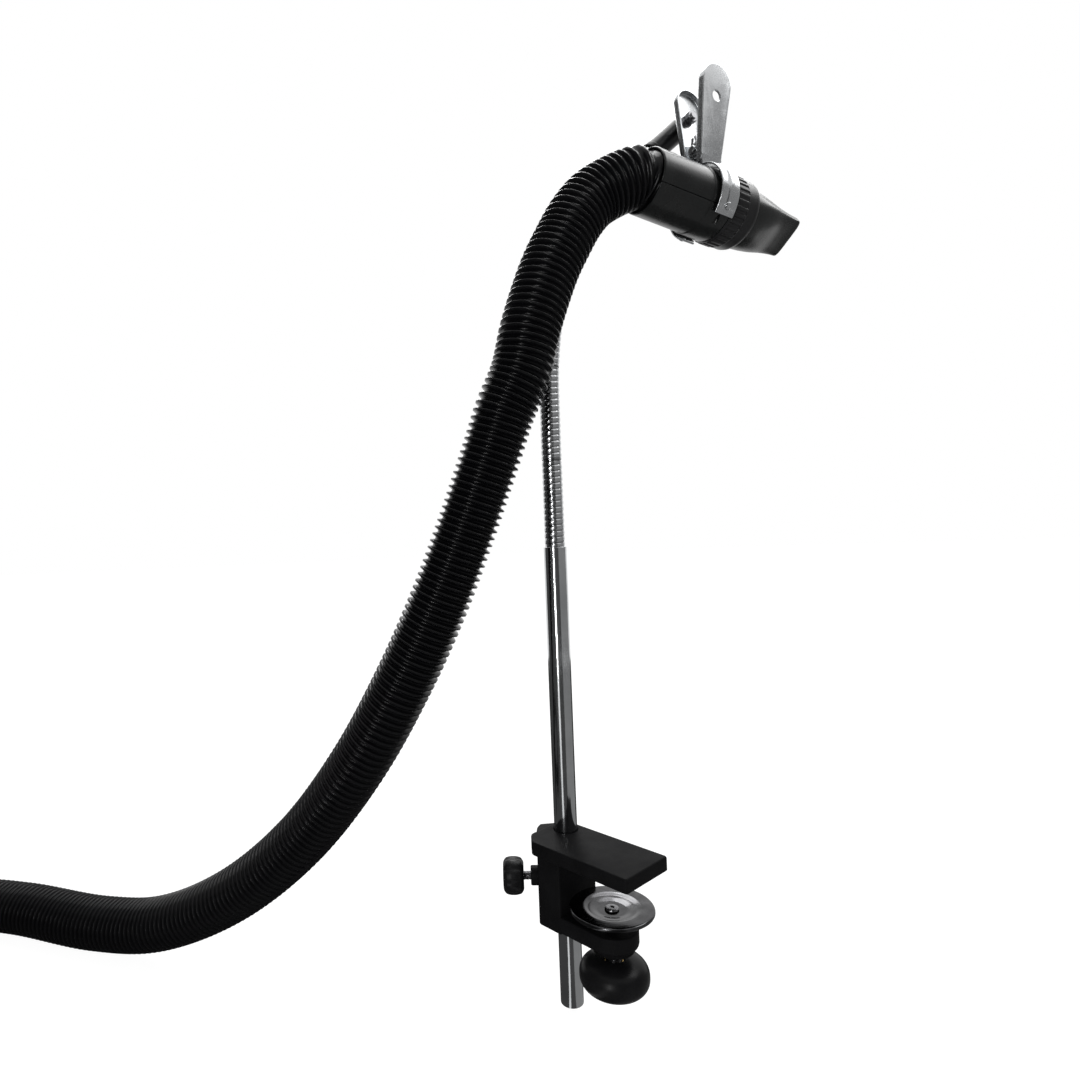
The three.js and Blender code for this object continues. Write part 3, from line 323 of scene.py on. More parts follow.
neck_line = catmull([
    *(rod_top + np.array(NECK_BENDS)), MOUTH_PLACE, MOUTH_PLACE + SLEEVE_WAY * sleeve_run / 2,
    MOUTH_PLACE + SLEEVE_WAY * sleeve_run,
])
neck_total = lengths(neck_line)[-1]


# ---------------------------------------------------------------- meshes
def grid_mesh(grid, ends="caps", shade=None):
    """Skin over rings[i, j]: ring i joins ring i+1 and corner j joins j+1.

    The ends are capped, or the last ring joins the first.
    """
    grid = np.asarray(grid, float)
    n, m = grid.shape[:2]
    i, j = np.meshgrid(np.arange(n if ends == "loop" else n - 1), np.arange(m), indexing="ij")
    i, j = i.ravel(), j.ravel()
    next_i, next_j = (i + 1) % n, (j + 1) % m
    faces = np.stack([i * m + j, i * m + next_j, next_i * m + next_j, next_i * m + j], -1).tolist()
    if ends == "caps":
        faces += [list(range(m))[::-1], list(range((n - 1) * m, n * m))]
    mesh = bpy.data.meshes.new("skin")
    mesh.from_pydata((grid.reshape(-1, 3) * MM).tolist(), [], faces)
    if shade is not None:
        # the shade goes into the 'depth' attribute, which the ribbed finishes turn into painted shade in the
        # valleys
        attribute = mesh.attributes.new("depth", "FLOAT", "POINT")
        attribute.data.foreach_set("value", np.asarray(shade, np.float32).ravel())
    tidy = bmesh.new()
    tidy.from_mesh(mesh)
    bmesh.ops.remove_doubles(tidy, verts=tidy.verts, dist=1e-7)
    bmesh.ops.recalc_face_normals(tidy, faces=tidy.faces)
    tidy.to_mesh(mesh)
    tidy.free()
    return mesh


def turned(profile, place=HERE, sides=64, lobes=None):
    """A profile of (radius, height) turned round Z; lobes(angle, radius, height) may push the radius."""
    profile = np.asarray(profile, float)
    angle = 2 * np.pi * np.arange(sides) / sides
    radius = np.repeat(profile[:, :1], sides, 1)
    height = np.repeat(profile[:, 1:], sides, 1)
    if lobes is not None:
        radius = lobes(angle[None], radius, height)
    rings = np.stack([radius * np.cos(angle), radius * np.sin(angle), height], -1)
    closes = np.allclose(profile[0], profile[-1])
    return grid_mesh(put(rings[:-1] if closes else rings, place), "loop" if closes else "caps")


def drill(radius, start, end, place, sides=24):
    """A plain cylinder, for cutting a round hole."""
    return turned([(0, start), (radius, start), (radius, end), (0, end)], place, sides)


def ring_section(inside, outside, start, end):
    """Closed profile of a plain ring."""
    return [(inside, start), (outside, start), (outside, end), (inside, end), (inside, start)]


def eased(points, steps=3, radius=0.4):
    """A profile whose corners are cut by a small quadratic curve: (1-t)²a + 2t(1-t)b + t²c."""
    points = [np.asarray(p, float) for p in points]
    closes = np.allclose(points[0], points[-1])
    core = points[:-1] if closes else points[1:-1]
    out = [] if closes else [points[0]]
    count = len(points) - 1 if closes else len(points)
    first = 0 if closes else 1
    for i in range(first, first + len(core)):
        before, here, after = points[(i - 1) % count], points[i % count], points[(i + 1) % count]
        a, b = before - here, after - here
        la, lb = np.linalg.norm(a), np.linalg.norm(b)
        r = min(radius, la * 0.45, lb * 0.45)
        a, b = here + a / la * r, here + b / lb * r
        for t in np.linspace(0, 1, steps + 1):
            out.append((1 - t) ** 2 * a + 2 * t * (1 - t) * here + t ** 2 * b)
    out.append(out[0] if closes else points[-1])
    return np.array(out)


def rounded(corners, radius, steps=5):
    """A closed outline with its corners rounded."""
    loop = eased([*corners, corners[0]], steps, radius)
    return loop[:-1]


def arc(x, y, radius, start, end, steps):
    """Points of an arc, from its first angle to its last, in degrees."""
    angle = np.radians(np.linspace(start, end, steps + 1))
    return np.stack([x + radius * np.cos(angle), y + radius * np.sin(angle)], -1)


def slab(outline, bottom, top, place=HERE, edges=(0.8, 0.8), steps=3):
    """An outline raised in Z, its rims rounded: offset e·(1 - sin a), rise e·(1 - cos a) from a face."""
    outline = np.asarray(outline, float)
    ahead, back = np.roll(outline, -1, 0), np.roll(outline, 1, 0)
    out = unit(np.stack([(ahead - back)[:, 1], -(ahead - back)[:, 0]], -1))
    area = np.sum(outline[:, 0] * ahead[:, 1] - ahead[:, 0] * outline[:, 1])
    out = out * np.sign(area)
    rings = []
    for face, edge, sign in ((bottom, edges[0], 1), (top, edges[1], -1)):
        turn = np.linspace(0, math.pi / 2, steps + 1) if edge > 0 else np.array([math.pi / 2])
        rim = [
            np.column_stack([outline - out * edge * (1 - math.sin(a)),
                             np.full(len(outline), face + sign * edge * (1 - math.cos(a)))])
            for a in turn
        ]
        rings += rim if sign > 0 else rim[::-1]
    return grid_mesh(put(rings, place))


def shown(mesh, name="helper"):
    thing = bpy.data.objects.new(name, mesh)
    bpy.context.scene.collection.objects.link(thing)
    return thing


def carved(first, joins=(), cuts=()):
    """One solid joined with others, then cut by others."""
    main = shown(first)
    helpers = []
    for how, meshes in (("UNION", joins), ("DIFFERENCE", cuts)):
        for mesh in meshes:
            helpers.append(shown(mesh))
            step = main.modifiers.new(how.lower(), "BOOLEAN")
            step.operation = how
            step.solver = "EXACT"
            step.object = helpers[-1]
    graph = bpy.context.evaluated_depsgraph_get()
    result = bpy.data.meshes.new_from_object(main.evaluated_get(graph))
    for thing in [main, *helpers]:
        bpy.data.objects.remove(thing)
    return result


def piece(name, mesh, body, slot, finish, *nodes, sharp=32):
    """Names a mesh as a piece of the stand, in its finish, riding on a body and standing for its nodes.

    A piece whose body is None is left unattached.
    """
    thing = shown(mesh, name)
    thing.data.name = name
    thing.data.materials.clear()
    thing.data.materials.append(finish)
    thing.data.polygons.foreach_set("use_smooth", np.ones(len(thing.data.polygons), bool))
    thing.data.set_sharp_from_angle(angle=math.radians(sharp))
    if body:
        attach(thing, body)
    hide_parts(*nodes)
    return thing


# ---------------------------------------------------------------- finishes
def new_finish(name):
    material = bpy.data.materials.new(name)
    material.use_nodes = True
    nodes, links = material.node_tree.nodes, material.node_tree.links
    return material, nodes, links, nodes["Principled BSDF"]


def noise(nodes, links, scale, detail, stretch=(1, 1, 1)):
    """Noise on Object coordinates, its cells `scale` millimetres wide, stretched along an axis if asked."""
    place = nodes.new("ShaderNodeTexCoord")
    mapping = nodes.new("ShaderNodeMapping")
    mapping.inputs["Scale"].default_value = stretch
    texture = nodes.new("ShaderNodeTexNoise")
    texture.inputs["Scale"].default_value = 1 / (scale * MM)
    texture.inputs["Detail"].default_value = detail
    links.new(place.outputs["Object"], mapping.inputs["Vector"])
    links.new(mapping.outputs["Vector"], texture.inputs["Vector"])
    return texture.outputs["Fac"]


def ranged(nodes, links, value, low, high, start=0.3, end=0.7):
    """A value's middle stretch spread between two results."""
    step = nodes.new("ShaderNodeMapRange")
    step.inputs["From Min"].default_value = start
    step.inputs["From Max"].default_value = end
    step.inputs["To Min"].default_value = low
    step.inputs["To Max"].default_value = high
    links.new(value, step.inputs["Value"])
    return step.outputs["Result"]


def blended(nodes, links, factor, first, second):
    """Mix of two colours by a factor."""
    mix = nodes.new("ShaderNodeMix")
    mix.data_type = "RGBA"  # its colours are inputs 6 and 7, and its result is output 2
    links.new(factor, mix.inputs[0])
    for socket, colour in ((mix.inputs[6], first), (mix.inputs[7], second)):
        if isinstance(colour, tuple):
            socket.default_value = (*colour, 1)
        else:
            links.new(colour, socket)
    return mix.outputs[2]


def bumped(nodes, links, shader, heights):
    """Bumps laid one on another: each is (value, height in millimetres)."""
    before = None
    for value, height in heights:
        bump = nodes.new("ShaderNodeBump")
        bump.inputs["Strength"].default_value = 1.0
        bump.inputs["Distance"].default_value = height * MM
        links.new(value, bump.inputs["Height"])
        if before is not None:
            links.new(before, bump.inputs["Normal"])
        before = bump.outputs["Normal"]
    links.new(before, shader.inputs["Normal"])


def plastic_or_paint(name, tones, rough, gloss, grain, grain_height, cloud=14.0):
    """Moulded plastic, rubber or paint: two near tones in soft clouds, uneven gloss, and a fine grain."""
    material, nodes, links, shader = new_finish(name)
    clouds = noise(nodes, links, cloud, 5)
    fine = noise(nodes, links, grain, 3)
    links.new(blended(nodes, links, ranged(nodes, links, clouds, 0, 1), *tones),
              shader.inputs["Base Color"])
    links.new(ranged(nodes, links, clouds, rough[0], rough[1]), shader.inputs["Roughness"])
    shader.inputs["Specular IOR Level"].default_value = gloss
    bumped(nodes, links, shader, [(fine, grain_height), (clouds, grain_height * 2)])
    return material


def metal(name, tones, rough, grain_height=0.004, stretch=(1, 1, 1), cloud=22.0, scratch=0.7):
    """Plated or polished metal: soft clouds of tone, slow waves, and rubbing marks in the gloss."""
    material, nodes, links, shader = new_finish(name)
    clouds = noise(nodes, links, cloud, 4)
    rubbed = noise(nodes, links, scratch, 4, stretch)
    waves = noise(nodes, links, 9.0, 1)
    links.new(blended(nodes, links, ranged(nodes, links, clouds, 0, 1), *tones),
              shader.inputs["Base Color"])
    links.new(ranged(nodes, links, rubbed, rough[0], rough[1]), shader.inputs["Roughness"])
    shader.inputs["Metallic"].default_value = 1.0
    bumped(nodes, links, shader, [(rubbed, grain_height), (waves, grain_height * 12)])
    return material


def ribbed(name, crest, valley, rough, gloss, metallic=0.0):
    """A ribbed skin: its mesh's depth is 0 in the valleys and 1 on the crests; the valleys' darker tone is
    painted shade.
    """
    material, nodes, links, shader = new_finish(name)
    depth = nodes.new("ShaderNodeAttribute")
    depth.attribute_name = "depth"
    clouds = noise(nodes, links, 11.0, 5)
    fine = noise(nodes, links, 0.9, 3)
    height = ranged(nodes, links, depth.outputs["Fac"], 0, 1, 0.1, 0.8)
    # crest tone on the crests, darker valley tone in the grooves: painted shade between the ribs
    links.new(blended(nodes, links, height, valley, crest), shader.inputs["Base Color"])
    worn = nodes.new("ShaderNodeMath")
    worn.operation = "MULTIPLY_ADD"
    worn.inputs[1].default_value = rough[1] - rough[0]
    worn.inputs[2].default_value = rough[0]
    links.new(ranged(nodes, links, clouds, 0, 1), worn.inputs[0])
    links.new(worn.outputs[0], shader.inputs["Roughness"])
    shader.inputs["Specular IOR Level"].default_value = gloss
    shader.inputs["Metallic"].default_value = metallic
    bumped(nodes, links, shader, [(fine, 0.012), (clouds, 0.05)])
    return material


def lathe_marks(name, tones, rough, pitch=0.35, height=0.006):
    """Turned and polished metal: rings about Z, from the sine of the distance to it, and soft clouds."""
    material, nodes, links, shader = new_finish(name)
    place = nodes.new("ShaderNodeTexCoord")
    rings = nodes.new("ShaderNodeTexWave")
    rings.wave_type = "RINGS"
    rings.rings_direction = "Z"
    rings.inputs["Scale"].default_value = 1 / (pitch * MM) / 20
    rings.inputs["Distortion"].default_value = 0.6
    rings.inputs["Detail"].default_value = 2
    links.new(place.outputs["Object"], rings.inputs["Vector"])
    clouds = noise(nodes, links, 8.0, 5)
    links.new(blended(nodes, links, ranged(nodes, links, clouds, 0, 1), *tones),
              shader.inputs["Base Color"])
    links.new(ranged(nodes, links, clouds, rough[0], rough[1]), shader.inputs["Roughness"])
    shader.inputs["Metallic"].default_value = 1.0
    bumped(nodes, links, shader, [(rings.outputs["Fac"], height), (clouds, 0.05)])
    return material


chrome = metal("bright_chrome", ((0.48, 0.49, 0.50), (0.58, 0.59, 0.60)), (0.07, 0.16),
               stretch=(1, 1, 0.06))
pressed_chrome = metal("pressed_chrome", ((0.47, 0.48, 0.49), (0.6, 0.61, 0.62)), (0.14, 0.30), 0.008)
# chrome winding: crests 0.55, valleys 0.10, the dark valleys being painted shade between the turns
neck_chrome = ribbed("neck_chrome", (0.55, 0.56, 0.57), (0.10, 0.10, 0.105), (0.12, 0.24), 0.5, 1.0)
disc_steel = lathe_marks("disc_steel", ((0.045, 0.045, 0.047), (0.09, 0.09, 0.093)), (0.12, 0.24))
thread_steel = metal("thread_steel", ((0.16, 0.16, 0.165), (0.24, 0.24, 0.25)), (0.22, 0.36), 0.006)
brass = metal("turned_brass", ((0.50, 0.34, 0.12), (0.62, 0.44, 0.18)), (0.2, 0.32))
cast_black = plastic_or_paint(
    "cast_black_paint", ((0.0045, 0.0045, 0.0048), (0.0065, 0.0065, 0.007)), (0.4, 0.56), 0.03, 1.3, 0.05)
gloss_knob = plastic_or_paint(
    "gloss_knob_plastic", ((0.005, 0.005, 0.0055), (0.0075, 0.0075, 0.008)), (0.26, 0.38), 0.1, 0.8, 0.01)
gloss_handle = plastic_or_paint(
    "gloss_handle_plastic", ((0.0045, 0.005, 0.005), (0.007, 0.0075, 0.0075)), (0.22, 0.3), 0.36, 0.7,
    0.004, 18.0)
satin_black = plastic_or_paint(
    "satin_black_plastic", ((0.007, 0.007, 0.0075), (0.011, 0.011, 0.0115)), (0.26, 0.4), 0.25, 0.6, 0.015)
pad_rubber = plastic_or_paint(
    "pad_rubber", ((0.012, 0.012, 0.0125), (0.02, 0.02, 0.021)), (0.7, 0.85), 0.25, 0.9, 0.04)
# hose: valleys darker than the crests, as painted shade between the ribs
hose_black = ribbed("hose_black", (0.0045, 0.0045, 0.005), (0.0015, 0.0015, 0.002), (0.14, 0.26), 0.12)


# ---------------------------------------------------------------- camera first, then the cords
CAMERA_PLACE = (0.2739, -0.3528, 0.2064)  # metres
CAMERA_HEADING, CAMERA_PITCH, CAMERA_ROLL = 48.35, 0.93, 2.07  # degrees
PICTURE_SIZE, FOCAL_LENGTH = 1080, 680  # pixels
AHEAD_X, AHEAD_Y = 471, 539  # the pixel that lies straight ahead
SENSOR_WIDTH = 36  # millimetres


def photo_camera():
    """The photograph's viewpoint, from the fitted heading, pitch and roll."""
    heading, pitch, roll = (math.radians(v) for v in (CAMERA_HEADING, CAMERA_PITCH, CAMERA_ROLL))
    right = np.array([math.cos(heading), math.sin(heading), 0])
    ahead = np.array([-math.sin(heading), math.cos(heading), 0])
    up = np.array([0, 0, 1.0])
    forward = math.cos(pitch) * ahead + math.sin(pitch) * up
    above = math.cos(pitch) * up - math.sin(pitch) * ahead
    x = math.cos(roll) * right - math.sin(roll) * above
    y = math.sin(roll) * right + math.cos(roll) * above
    data = bpy.data.cameras.new("photo_camera")
    data.sensor_width = SENSOR_WIDTH
    data.lens = FOCAL_LENGTH / PICTURE_SIZE * SENSOR_WIDTH
    data.shift_x = (PICTURE_SIZE / 2 - AHEAD_X) / PICTURE_SIZE
    data.shift_y = (AHEAD_Y - PICTURE_SIZE / 2) / PICTURE_SIZE
    data.clip_start = 0.02
    camera = bpy.data.objects.new("photo_camera", data)
    bpy.context.scene.collection.objects.link(camera)
    camera.matrix_world = Matrix(basis(CAMERA_PLACE, x, y, -forward).tolist())
    bpy.context.scene.camera = camera


photo_camera()


# one rib: (share of the pitch, share of the depth), a flat crest with round shoulders and a wide valley
RIB = np.array([(0, 1.0), (0.09, 0.96), (0.2, 0.55), (0.36, 0.02), (0.64, 0.02), (0.8, 0.55), (0.91, 0.96)])


def air_hose():
    """Ribbed tube: r(s) runs from crest to valley and back once a pitch, and the bore runs back inside."""
    sides = 23
    ribs = int(hose_total / RIB_PITCH)
    marks = (np.arange(ribs)[:, None] + RIB[None, :, 0]).ravel() * hose_total / ribs
    marks = np.append(marks, hose_total)
    depth = np.append(np.tile(RIB[:, 1], ribs), 1.0)
    outside = HOSE_VALLEY + (HOSE_RADIUS - HOSE_VALLEY) * depth
    inner = np.linspace(hose_total, 0, 90)
    marks = np.concatenate([marks, inner])
    radii = np.concatenate([outside, np.full(len(inner), HOSE_BORE)])
    laid = np.clip((marks - HANGING) / LAYING, 0, 1)[:, None]
    laid = laid ** 2 * (3 - 2 * laid)
    reference = (1 - laid) * np.array([0.5, -0.86, 0]) + laid * np.array([0, 0, 1.0])
    grid = swept(hose_line, marks, radii, sides, reference)
    # rib depth per point, which the hose finish turns into painted shade in the valleys
    shade = np.repeat(np.concatenate([depth, np.zeros(len(inner))])[:, None], sides, 1)
    return grid_mesh(grid, "loop", shade)


hose = piece("air_hose", air_hose(), "clip_base", "hose_plastic", hose_black, "dryer_hose", "hose_coil",
             sharp=75)

# blower end: a cuff with finger grooves, and its locking ring with grips
cuff_end = CUFF_LENGTH - CUFF_INSIDE
cuff_profile = eased([
    (HOSE_RADIUS + GAP, -CUFF_INSIDE), (CUFF_RADIUS - 1.5, -CUFF_INSIDE), (CUFF_RADIUS, -CUFF_INSIDE + 2),
    (CUFF_RADIUS, -26), (CUFF_RADIUS - 0.9, -25), (CUFF_RADIUS - 0.9, -22), (CUFF_RADIUS, -21),
    (CUFF_RADIUS, -16), (CUFF_RADIUS - 0.9, -15), (CUFF_RADIUS - 0.9, -12), (CUFF_RADIUS, -11),
    (CUFF_RADIUS, 2), (HOSE_RADIUS + 0.6, 4), (HOSE_RADIUS + 0.6, cuff_end), (HOSE_BORE + 0.6, cuff_end),
    (HOSE_BORE + 0.6, GAP), (HOSE_RADIUS + GAP, GAP), (HOSE_RADIUS + GAP, -CUFF_INSIDE),
])
cuff = piece("hose_cuff", turned(cuff_profile, CUFF, 96), "clip_base", "satin_plastic", satin_black,
             "blower_cuff")


def grips(count, depth, low, high):
    """Shallow flutes round a ring: radius less d·cos²(n·a/2) between two heights, on outer faces only."""
    def push(angle, radius, height):
        inside = (height > low) & (height < high) & (radius > HOSE_RADIUS + 1.5)
        return radius - depth * inside * np.cos(count * angle / 2) ** 2
    return push


ring_end = RING_START + RING_LENGTH
ring_profile = eased([
    (HOSE_RADIUS + 0.9, RING_START), (RING_RADIUS - 1, RING_START), (RING_RADIUS, RING_START + 1),
    (RING_RADIUS, 7), (RING_RADIUS, 15), (RING_RADIUS, ring_end - 1), (RING_RADIUS - 1, ring_end),
    (HOSE_RADIUS + 0.9, ring_end), (HOSE_RADIUS + 0.9, RING_START),
])
lock_ring = piece(
    "cuff_lock_ring", turned(ring_profile, CUFF, 240, grips(RING_GRIPS, 0.8, 6.8, 15.2)), "clip_base",
    "gloss_handle", gloss_handle, "cuff_ring",
)


def tie_strap():
    """A strap round two strands: a band of rounded section carried round the stadium outline."""
    half, inside = COIL_SPACING / 2, HOSE_RADIUS + GAP * 2.5
    loop = np.vstack([arc(half, 0, 1, -90, 90, 40), arc(-half, 0, 1, 90, 270, 40)])
    centre = np.where(loop[:, :1] > 0, half, -half) * np.array([1, 0])
    way = loop - centre
    section = rounded([(0, -TIE_WIDTH / 2), (TIE_THICK, -TIE_WIDTH / 2), (TIE_THICK, TIE_WIDTH / 2),
                       (0, TIE_WIDTH / 2)], 0.35)
    plane = centre[:, None] + way[:, None] * (inside + section[None, :, :1])
    rings = np.stack([plane[..., 0], np.broadcast_to(-section[None, :, 1], plane.shape[:2]),
                      plane[..., 1]], -1)
    return grid_mesh(put(rings, TIE), "loop")


tie = piece("hose_strap", tie_strap(), "clip_base", "rubber_pad", pad_rubber, "hose_tie")


# ---------------------------------------------------------------- clamp
def clamp_casting():
    """Upper jaw, column, lower arm and the two screws' bosses, with the three holes through them."""
    plate = slab(rounded([
        (JAW_TIP, -JAW_HALF), (JAW_TIP, JAW_HALF), (JAW_BACK, JAW_HALF), (JAW_BACK, JAW_CORNER - JAW_HALF),
        (JAW_BACK + JAW_CORNER, -JAW_HALF),
    ], 2.2), 0, JAW_THICK, edges=(0.8, 1.2))
    rod_x, rod_y = ROD_AXIS[:2]
    column = slab(rounded([
        (THROAT, -ARM_HALF), (THROAT, JAW_HALF - 0.3), (rod_x - 6.5, JAW_HALF - 0.3),
        (rod_x - 14, rod_y + 3.3), *arc(rod_x, rod_y, COLUMN_RADIUS, -166, -127, 5), (rod_x - 3, -ARM_HALF),
    ], 1.6), ARM_BOTTOM, JAW_THICK - 0.6, edges=(1.0, 1.0))
    root = THROAT - 8
    arm = slab(np.vstack([arc(0, 0, ARM_HALF, -90, 90, 36), [(root, ARM_HALF), (root, -ARM_HALF)]]),
               ARM_BOTTOM + 0.1, ARM_TOP, edges=(3.2, 1.0), steps=5)
    boss = turned(eased([
        (0, ARM_TOP - 2), (BOSS_RADIUS + 1.6, ARM_TOP - 4), (BOSS_RADIUS + 1.6, ARM_BOTTOM + 1),
        (BOSS_RADIUS, BOSS_BOTTOM), (0, BOSS_BOTTOM),
    ], radius=0.8))
    lock_boss = turned(eased([(0, 12), (LOCK_BOSS, 12), (LOCK_BOSS, LOCK_REACH), (0, LOCK_REACH)],
                             radius=0.9), LOCK, 48)
    rod_hole = turned([
        (0, BOSS_BOTTOM - 4), (ROD_RADIUS + GAP, BOSS_BOTTOM - 4), (ROD_RADIUS + GAP, JAW_THICK - 0.7),
        (ROD_RADIUS + GAP + 1.2, JAW_THICK + 0.5), (0, JAW_THICK + 0.5),
    ], MAST)
    screw_hole = turned([
        (0, BOSS_BOTTOM - 1), (SCREW_RADIUS + GAP + 1, BOSS_BOTTOM - 1),
        (SCREW_RADIUS + GAP, BOSS_BOTTOM + 1), (SCREW_RADIUS + GAP, ARM_TOP + 1), (0, ARM_TOP + 1),
    ])
    lock_hole = drill(LOCK_SCREW + GAP, 5, LOCK_REACH + 1, LOCK, 32)
    return carved(plate, [column, arm, boss, lock_boss], [rod_hole, screw_hole, lock_hole])


piece("clamp_casting", clamp_casting(), "clamp", "black_casting", cast_black, "clamp_body")


# ---------------------------------------------------------------- screws
def threaded(bottom, top, radius, pitch, depth, place, sides, per_turn=8, plain=1.2, neck=()):
    """A screw's shank: r = R - d·tri(z/p - a/2π), faded out near its ends.

    A neck beyond its top is given as (radius, height) pairs.
    """
    heights = np.linspace(bottom, top, int((top - bottom) / pitch * per_turn) + 1)
    angle = 2 * np.pi * np.arange(sides) / sides
    phase = (heights[:, None] / pitch - angle[None] / (2 * np.pi)) % 1
    wedge = np.clip(np.abs(phase - 0.5) * 2.6 - 0.3, 0, 1)
    fade = np.clip(np.minimum(heights - bottom, top - heights) / plain, 0, 1)[:, None]
    ring_radius = radius - depth * wedge * fade
    rings = np.stack([ring_radius * np.cos(angle), ring_radius * np.sin(angle),
                      np.repeat(heights[:, None], sides, 1)], -1)
    extra = [np.stack([r * np.cos(angle), r * np.sin(angle), np.full(sides, z)], -1) for r, z in neck]
    return grid_mesh(put(np.concatenate([rings, extra]) if extra else rings, place))


disc_floor = DISC_TOP - DISC_DISH
seat = disc_floor + GAP
piece("clamp_spindle", threaded(
    SCREW_END, HUB_BOTTOM - GAP, SCREW_RADIUS, SCREW_PITCH, 0.75, HERE, 48,
    neck=[
        (SCREW_NECK, HUB_BOTTOM - GAP), (SCREW_NECK, seat), (4.4, seat), (4.6, seat + 0.25),
        (4.3, seat + 0.9), (3.6, seat + 1.15), (1.7, seat + 1.2), (1.35, seat + 0.9), (0.0, seat + 0.1),
    ],
), "clamp_screw", "dark_steel", thread_steel, "clamp_screw")

disc_bore = SCREW_NECK + GAP
disc_profile = eased([
    (disc_bore, disc_floor), (HUB_RADIUS + 1.2, disc_floor), (HUB_RADIUS + 4.6, disc_floor + 0.9),
    (HUB_RADIUS + 7.0, disc_floor + 1.2), (DISC_RADIUS - 9.6, DISC_TOP - 0.35),
    (DISC_RADIUS - 8.2, DISC_TOP - 0.05), (DISC_RADIUS - 0.9, DISC_TOP), (DISC_RADIUS, DISC_TOP - 0.7),
    (DISC_RADIUS, DISC_TOP - DISC_RIM + 0.5), (DISC_RADIUS - 0.6, DISC_TOP - DISC_RIM),
    (HUB_RADIUS + 3, disc_floor - DISC_RIM), (HUB_RADIUS, HUB_BOTTOM + 1.4), (HUB_RADIUS, HUB_BOTTOM),
    (disc_bore, HUB_BOTTOM), (disc_bore, disc_floor),
], 4, 0.8)
piece("pad_disc", turned(disc_profile, HERE, 128), "pressure_pad", "dark_steel", disc_steel,
      "pressure_disc")


def round_knob():
    """Rounded square section |r/R|^n + |z/H|^n = 1, with a pocket for the insert."""
    pocket, power = INSERT_RADIUS + GAP, 2.5
    start = math.asin((pocket / KNOB_RADIUS) ** (power / 2))
    angle = np.linspace(start, math.pi, 48)
    radius = KNOB_RADIUS * np.clip(np.sin(angle), 0, 1) ** (2 / power)
    height = KNOB_MIDDLE + KNOB_HALF * np.sign(np.cos(angle)) * np.abs(np.cos(angle)) ** (2 / power)
    radius[-1] = 0
    pocket_ring = [(0, SCREW_END - 1), (pocket, SCREW_END - 1), (pocket, height[0] - 0.5),
                   (pocket + 0.3, height[0] - 0.05)]
    return turned([*pocket_ring, *zip(radius, height)], HERE, 96)


piece("round_knob", round_knob(), "clamp_screw", "gloss_knob", gloss_knob, "clamp_knob", sharp=50)
insert = eased([
    (SCREW_RADIUS + GAP, SCREW_END), (INSERT_RADIUS, SCREW_END), (INSERT_RADIUS, SCREW_END + 5),
    (INSERT_RADIUS - 0.8, SCREW_END + 5.5), (INSERT_RADIUS - 0.8, SCREW_END + 7.5),
    (INSERT_RADIUS, SCREW_END + 8), (INSERT_RADIUS, SCREW_END + INSERT_LENGTH),
    (SCREW_RADIUS + GAP, SCREW_END + INSERT_LENGTH), (SCREW_RADIUS + GAP, SCREW_END),
])
piece("brass_bush", turned(insert, HERE, 64), "clamp_screw", "brass_insert", brass, "knob_insert")

tip_end = ROD_RADIUS + GAP + 2.6
piece("lock_tip_pad", turned(eased([
    (0, ROD_RADIUS + GAP), (LOCK_SCREW - 0.5, ROD_RADIUS + GAP), (LOCK_SCREW, ROD_RADIUS + GAP + 0.5),
    (LOCK_SCREW, tip_end), (0, tip_end),
]), LOCK, 40), "lock_tip", "brass_insert", brass, "rod_lock_tip")
lock_end = LOCK_START + LOCK_LENGTH
piece("lock_spindle", threaded(tip_end + GAP, lock_end - 2, LOCK_SCREW, LOCK_PITCH, 0.5, LOCK, 32, 7),
      "lock_screw", "dark_steel", thread_steel, "rod_lock_screw")
lock_profile = eased([
    (LOCK_SCREW + GAP, LOCK_START), (LOCK_HEAD - 3.4, LOCK_START), (LOCK_HEAD - 0.8, LOCK_START + 1.8),
    (LOCK_HEAD, LOCK_START + 5.2), (LOCK_HEAD, lock_end - 5.2), (LOCK_HEAD - 0.8, lock_end - 1.8),
    (LOCK_HEAD - 3.4, lock_end), (4, lock_end), (0, lock_end - 0.5), (0, lock_end - 1.7),
    (LOCK_SCREW + GAP, lock_end - 1.7), (LOCK_SCREW + GAP, LOCK_START),
], 5, 1.2)


def flutes(angle, radius, height):
    """Eight finger flutes: radius less d·cos⁶(4a), on the outer face."""
    return radius - 0.7 * (radius > 8) * np.cos(4 * angle) ** 6


piece("lock_knob", turned(lock_profile, LOCK, 96, flutes), "lock_screw", "gloss_knob", gloss_knob,
      "rod_lock_knob", sharp=50)

# ---------------------------------------------------------------- rod
rod_profile = eased([
    (ROD_BORE, ROD_FOOT), (ROD_RADIUS, ROD_FOOT), (ROD_RADIUS, ROD_FOOT + 60), (ROD_RADIUS, ROD_TOP - 60),
    (ROD_RADIUS, ROD_TOP), (ROD_BORE, ROD_TOP), (ROD_BORE, ROD_FOOT),
], 4, 0.45)
piece("chrome_rod", turned(rod_profile, MAST, 96), "rod", "chrome_steel", chrome, "support_rod", sharp=50)
plug_top = ROD_FOOT + 0.5 + PLUG_LENGTH
piece("rod_plug", turned(eased([
    (0, ROD_FOOT + 1.4), (4.2, ROD_FOOT + 1.2), (4.8, ROD_FOOT + 0.5), (PLUG_RADIUS, ROD_FOOT + 0.5),
    (PLUG_RADIUS, plug_top), (0, plug_top),
], 4, 0.4), MAST, 64), "rod_plug", "satin_plastic", satin_black, "rod_end_plug")


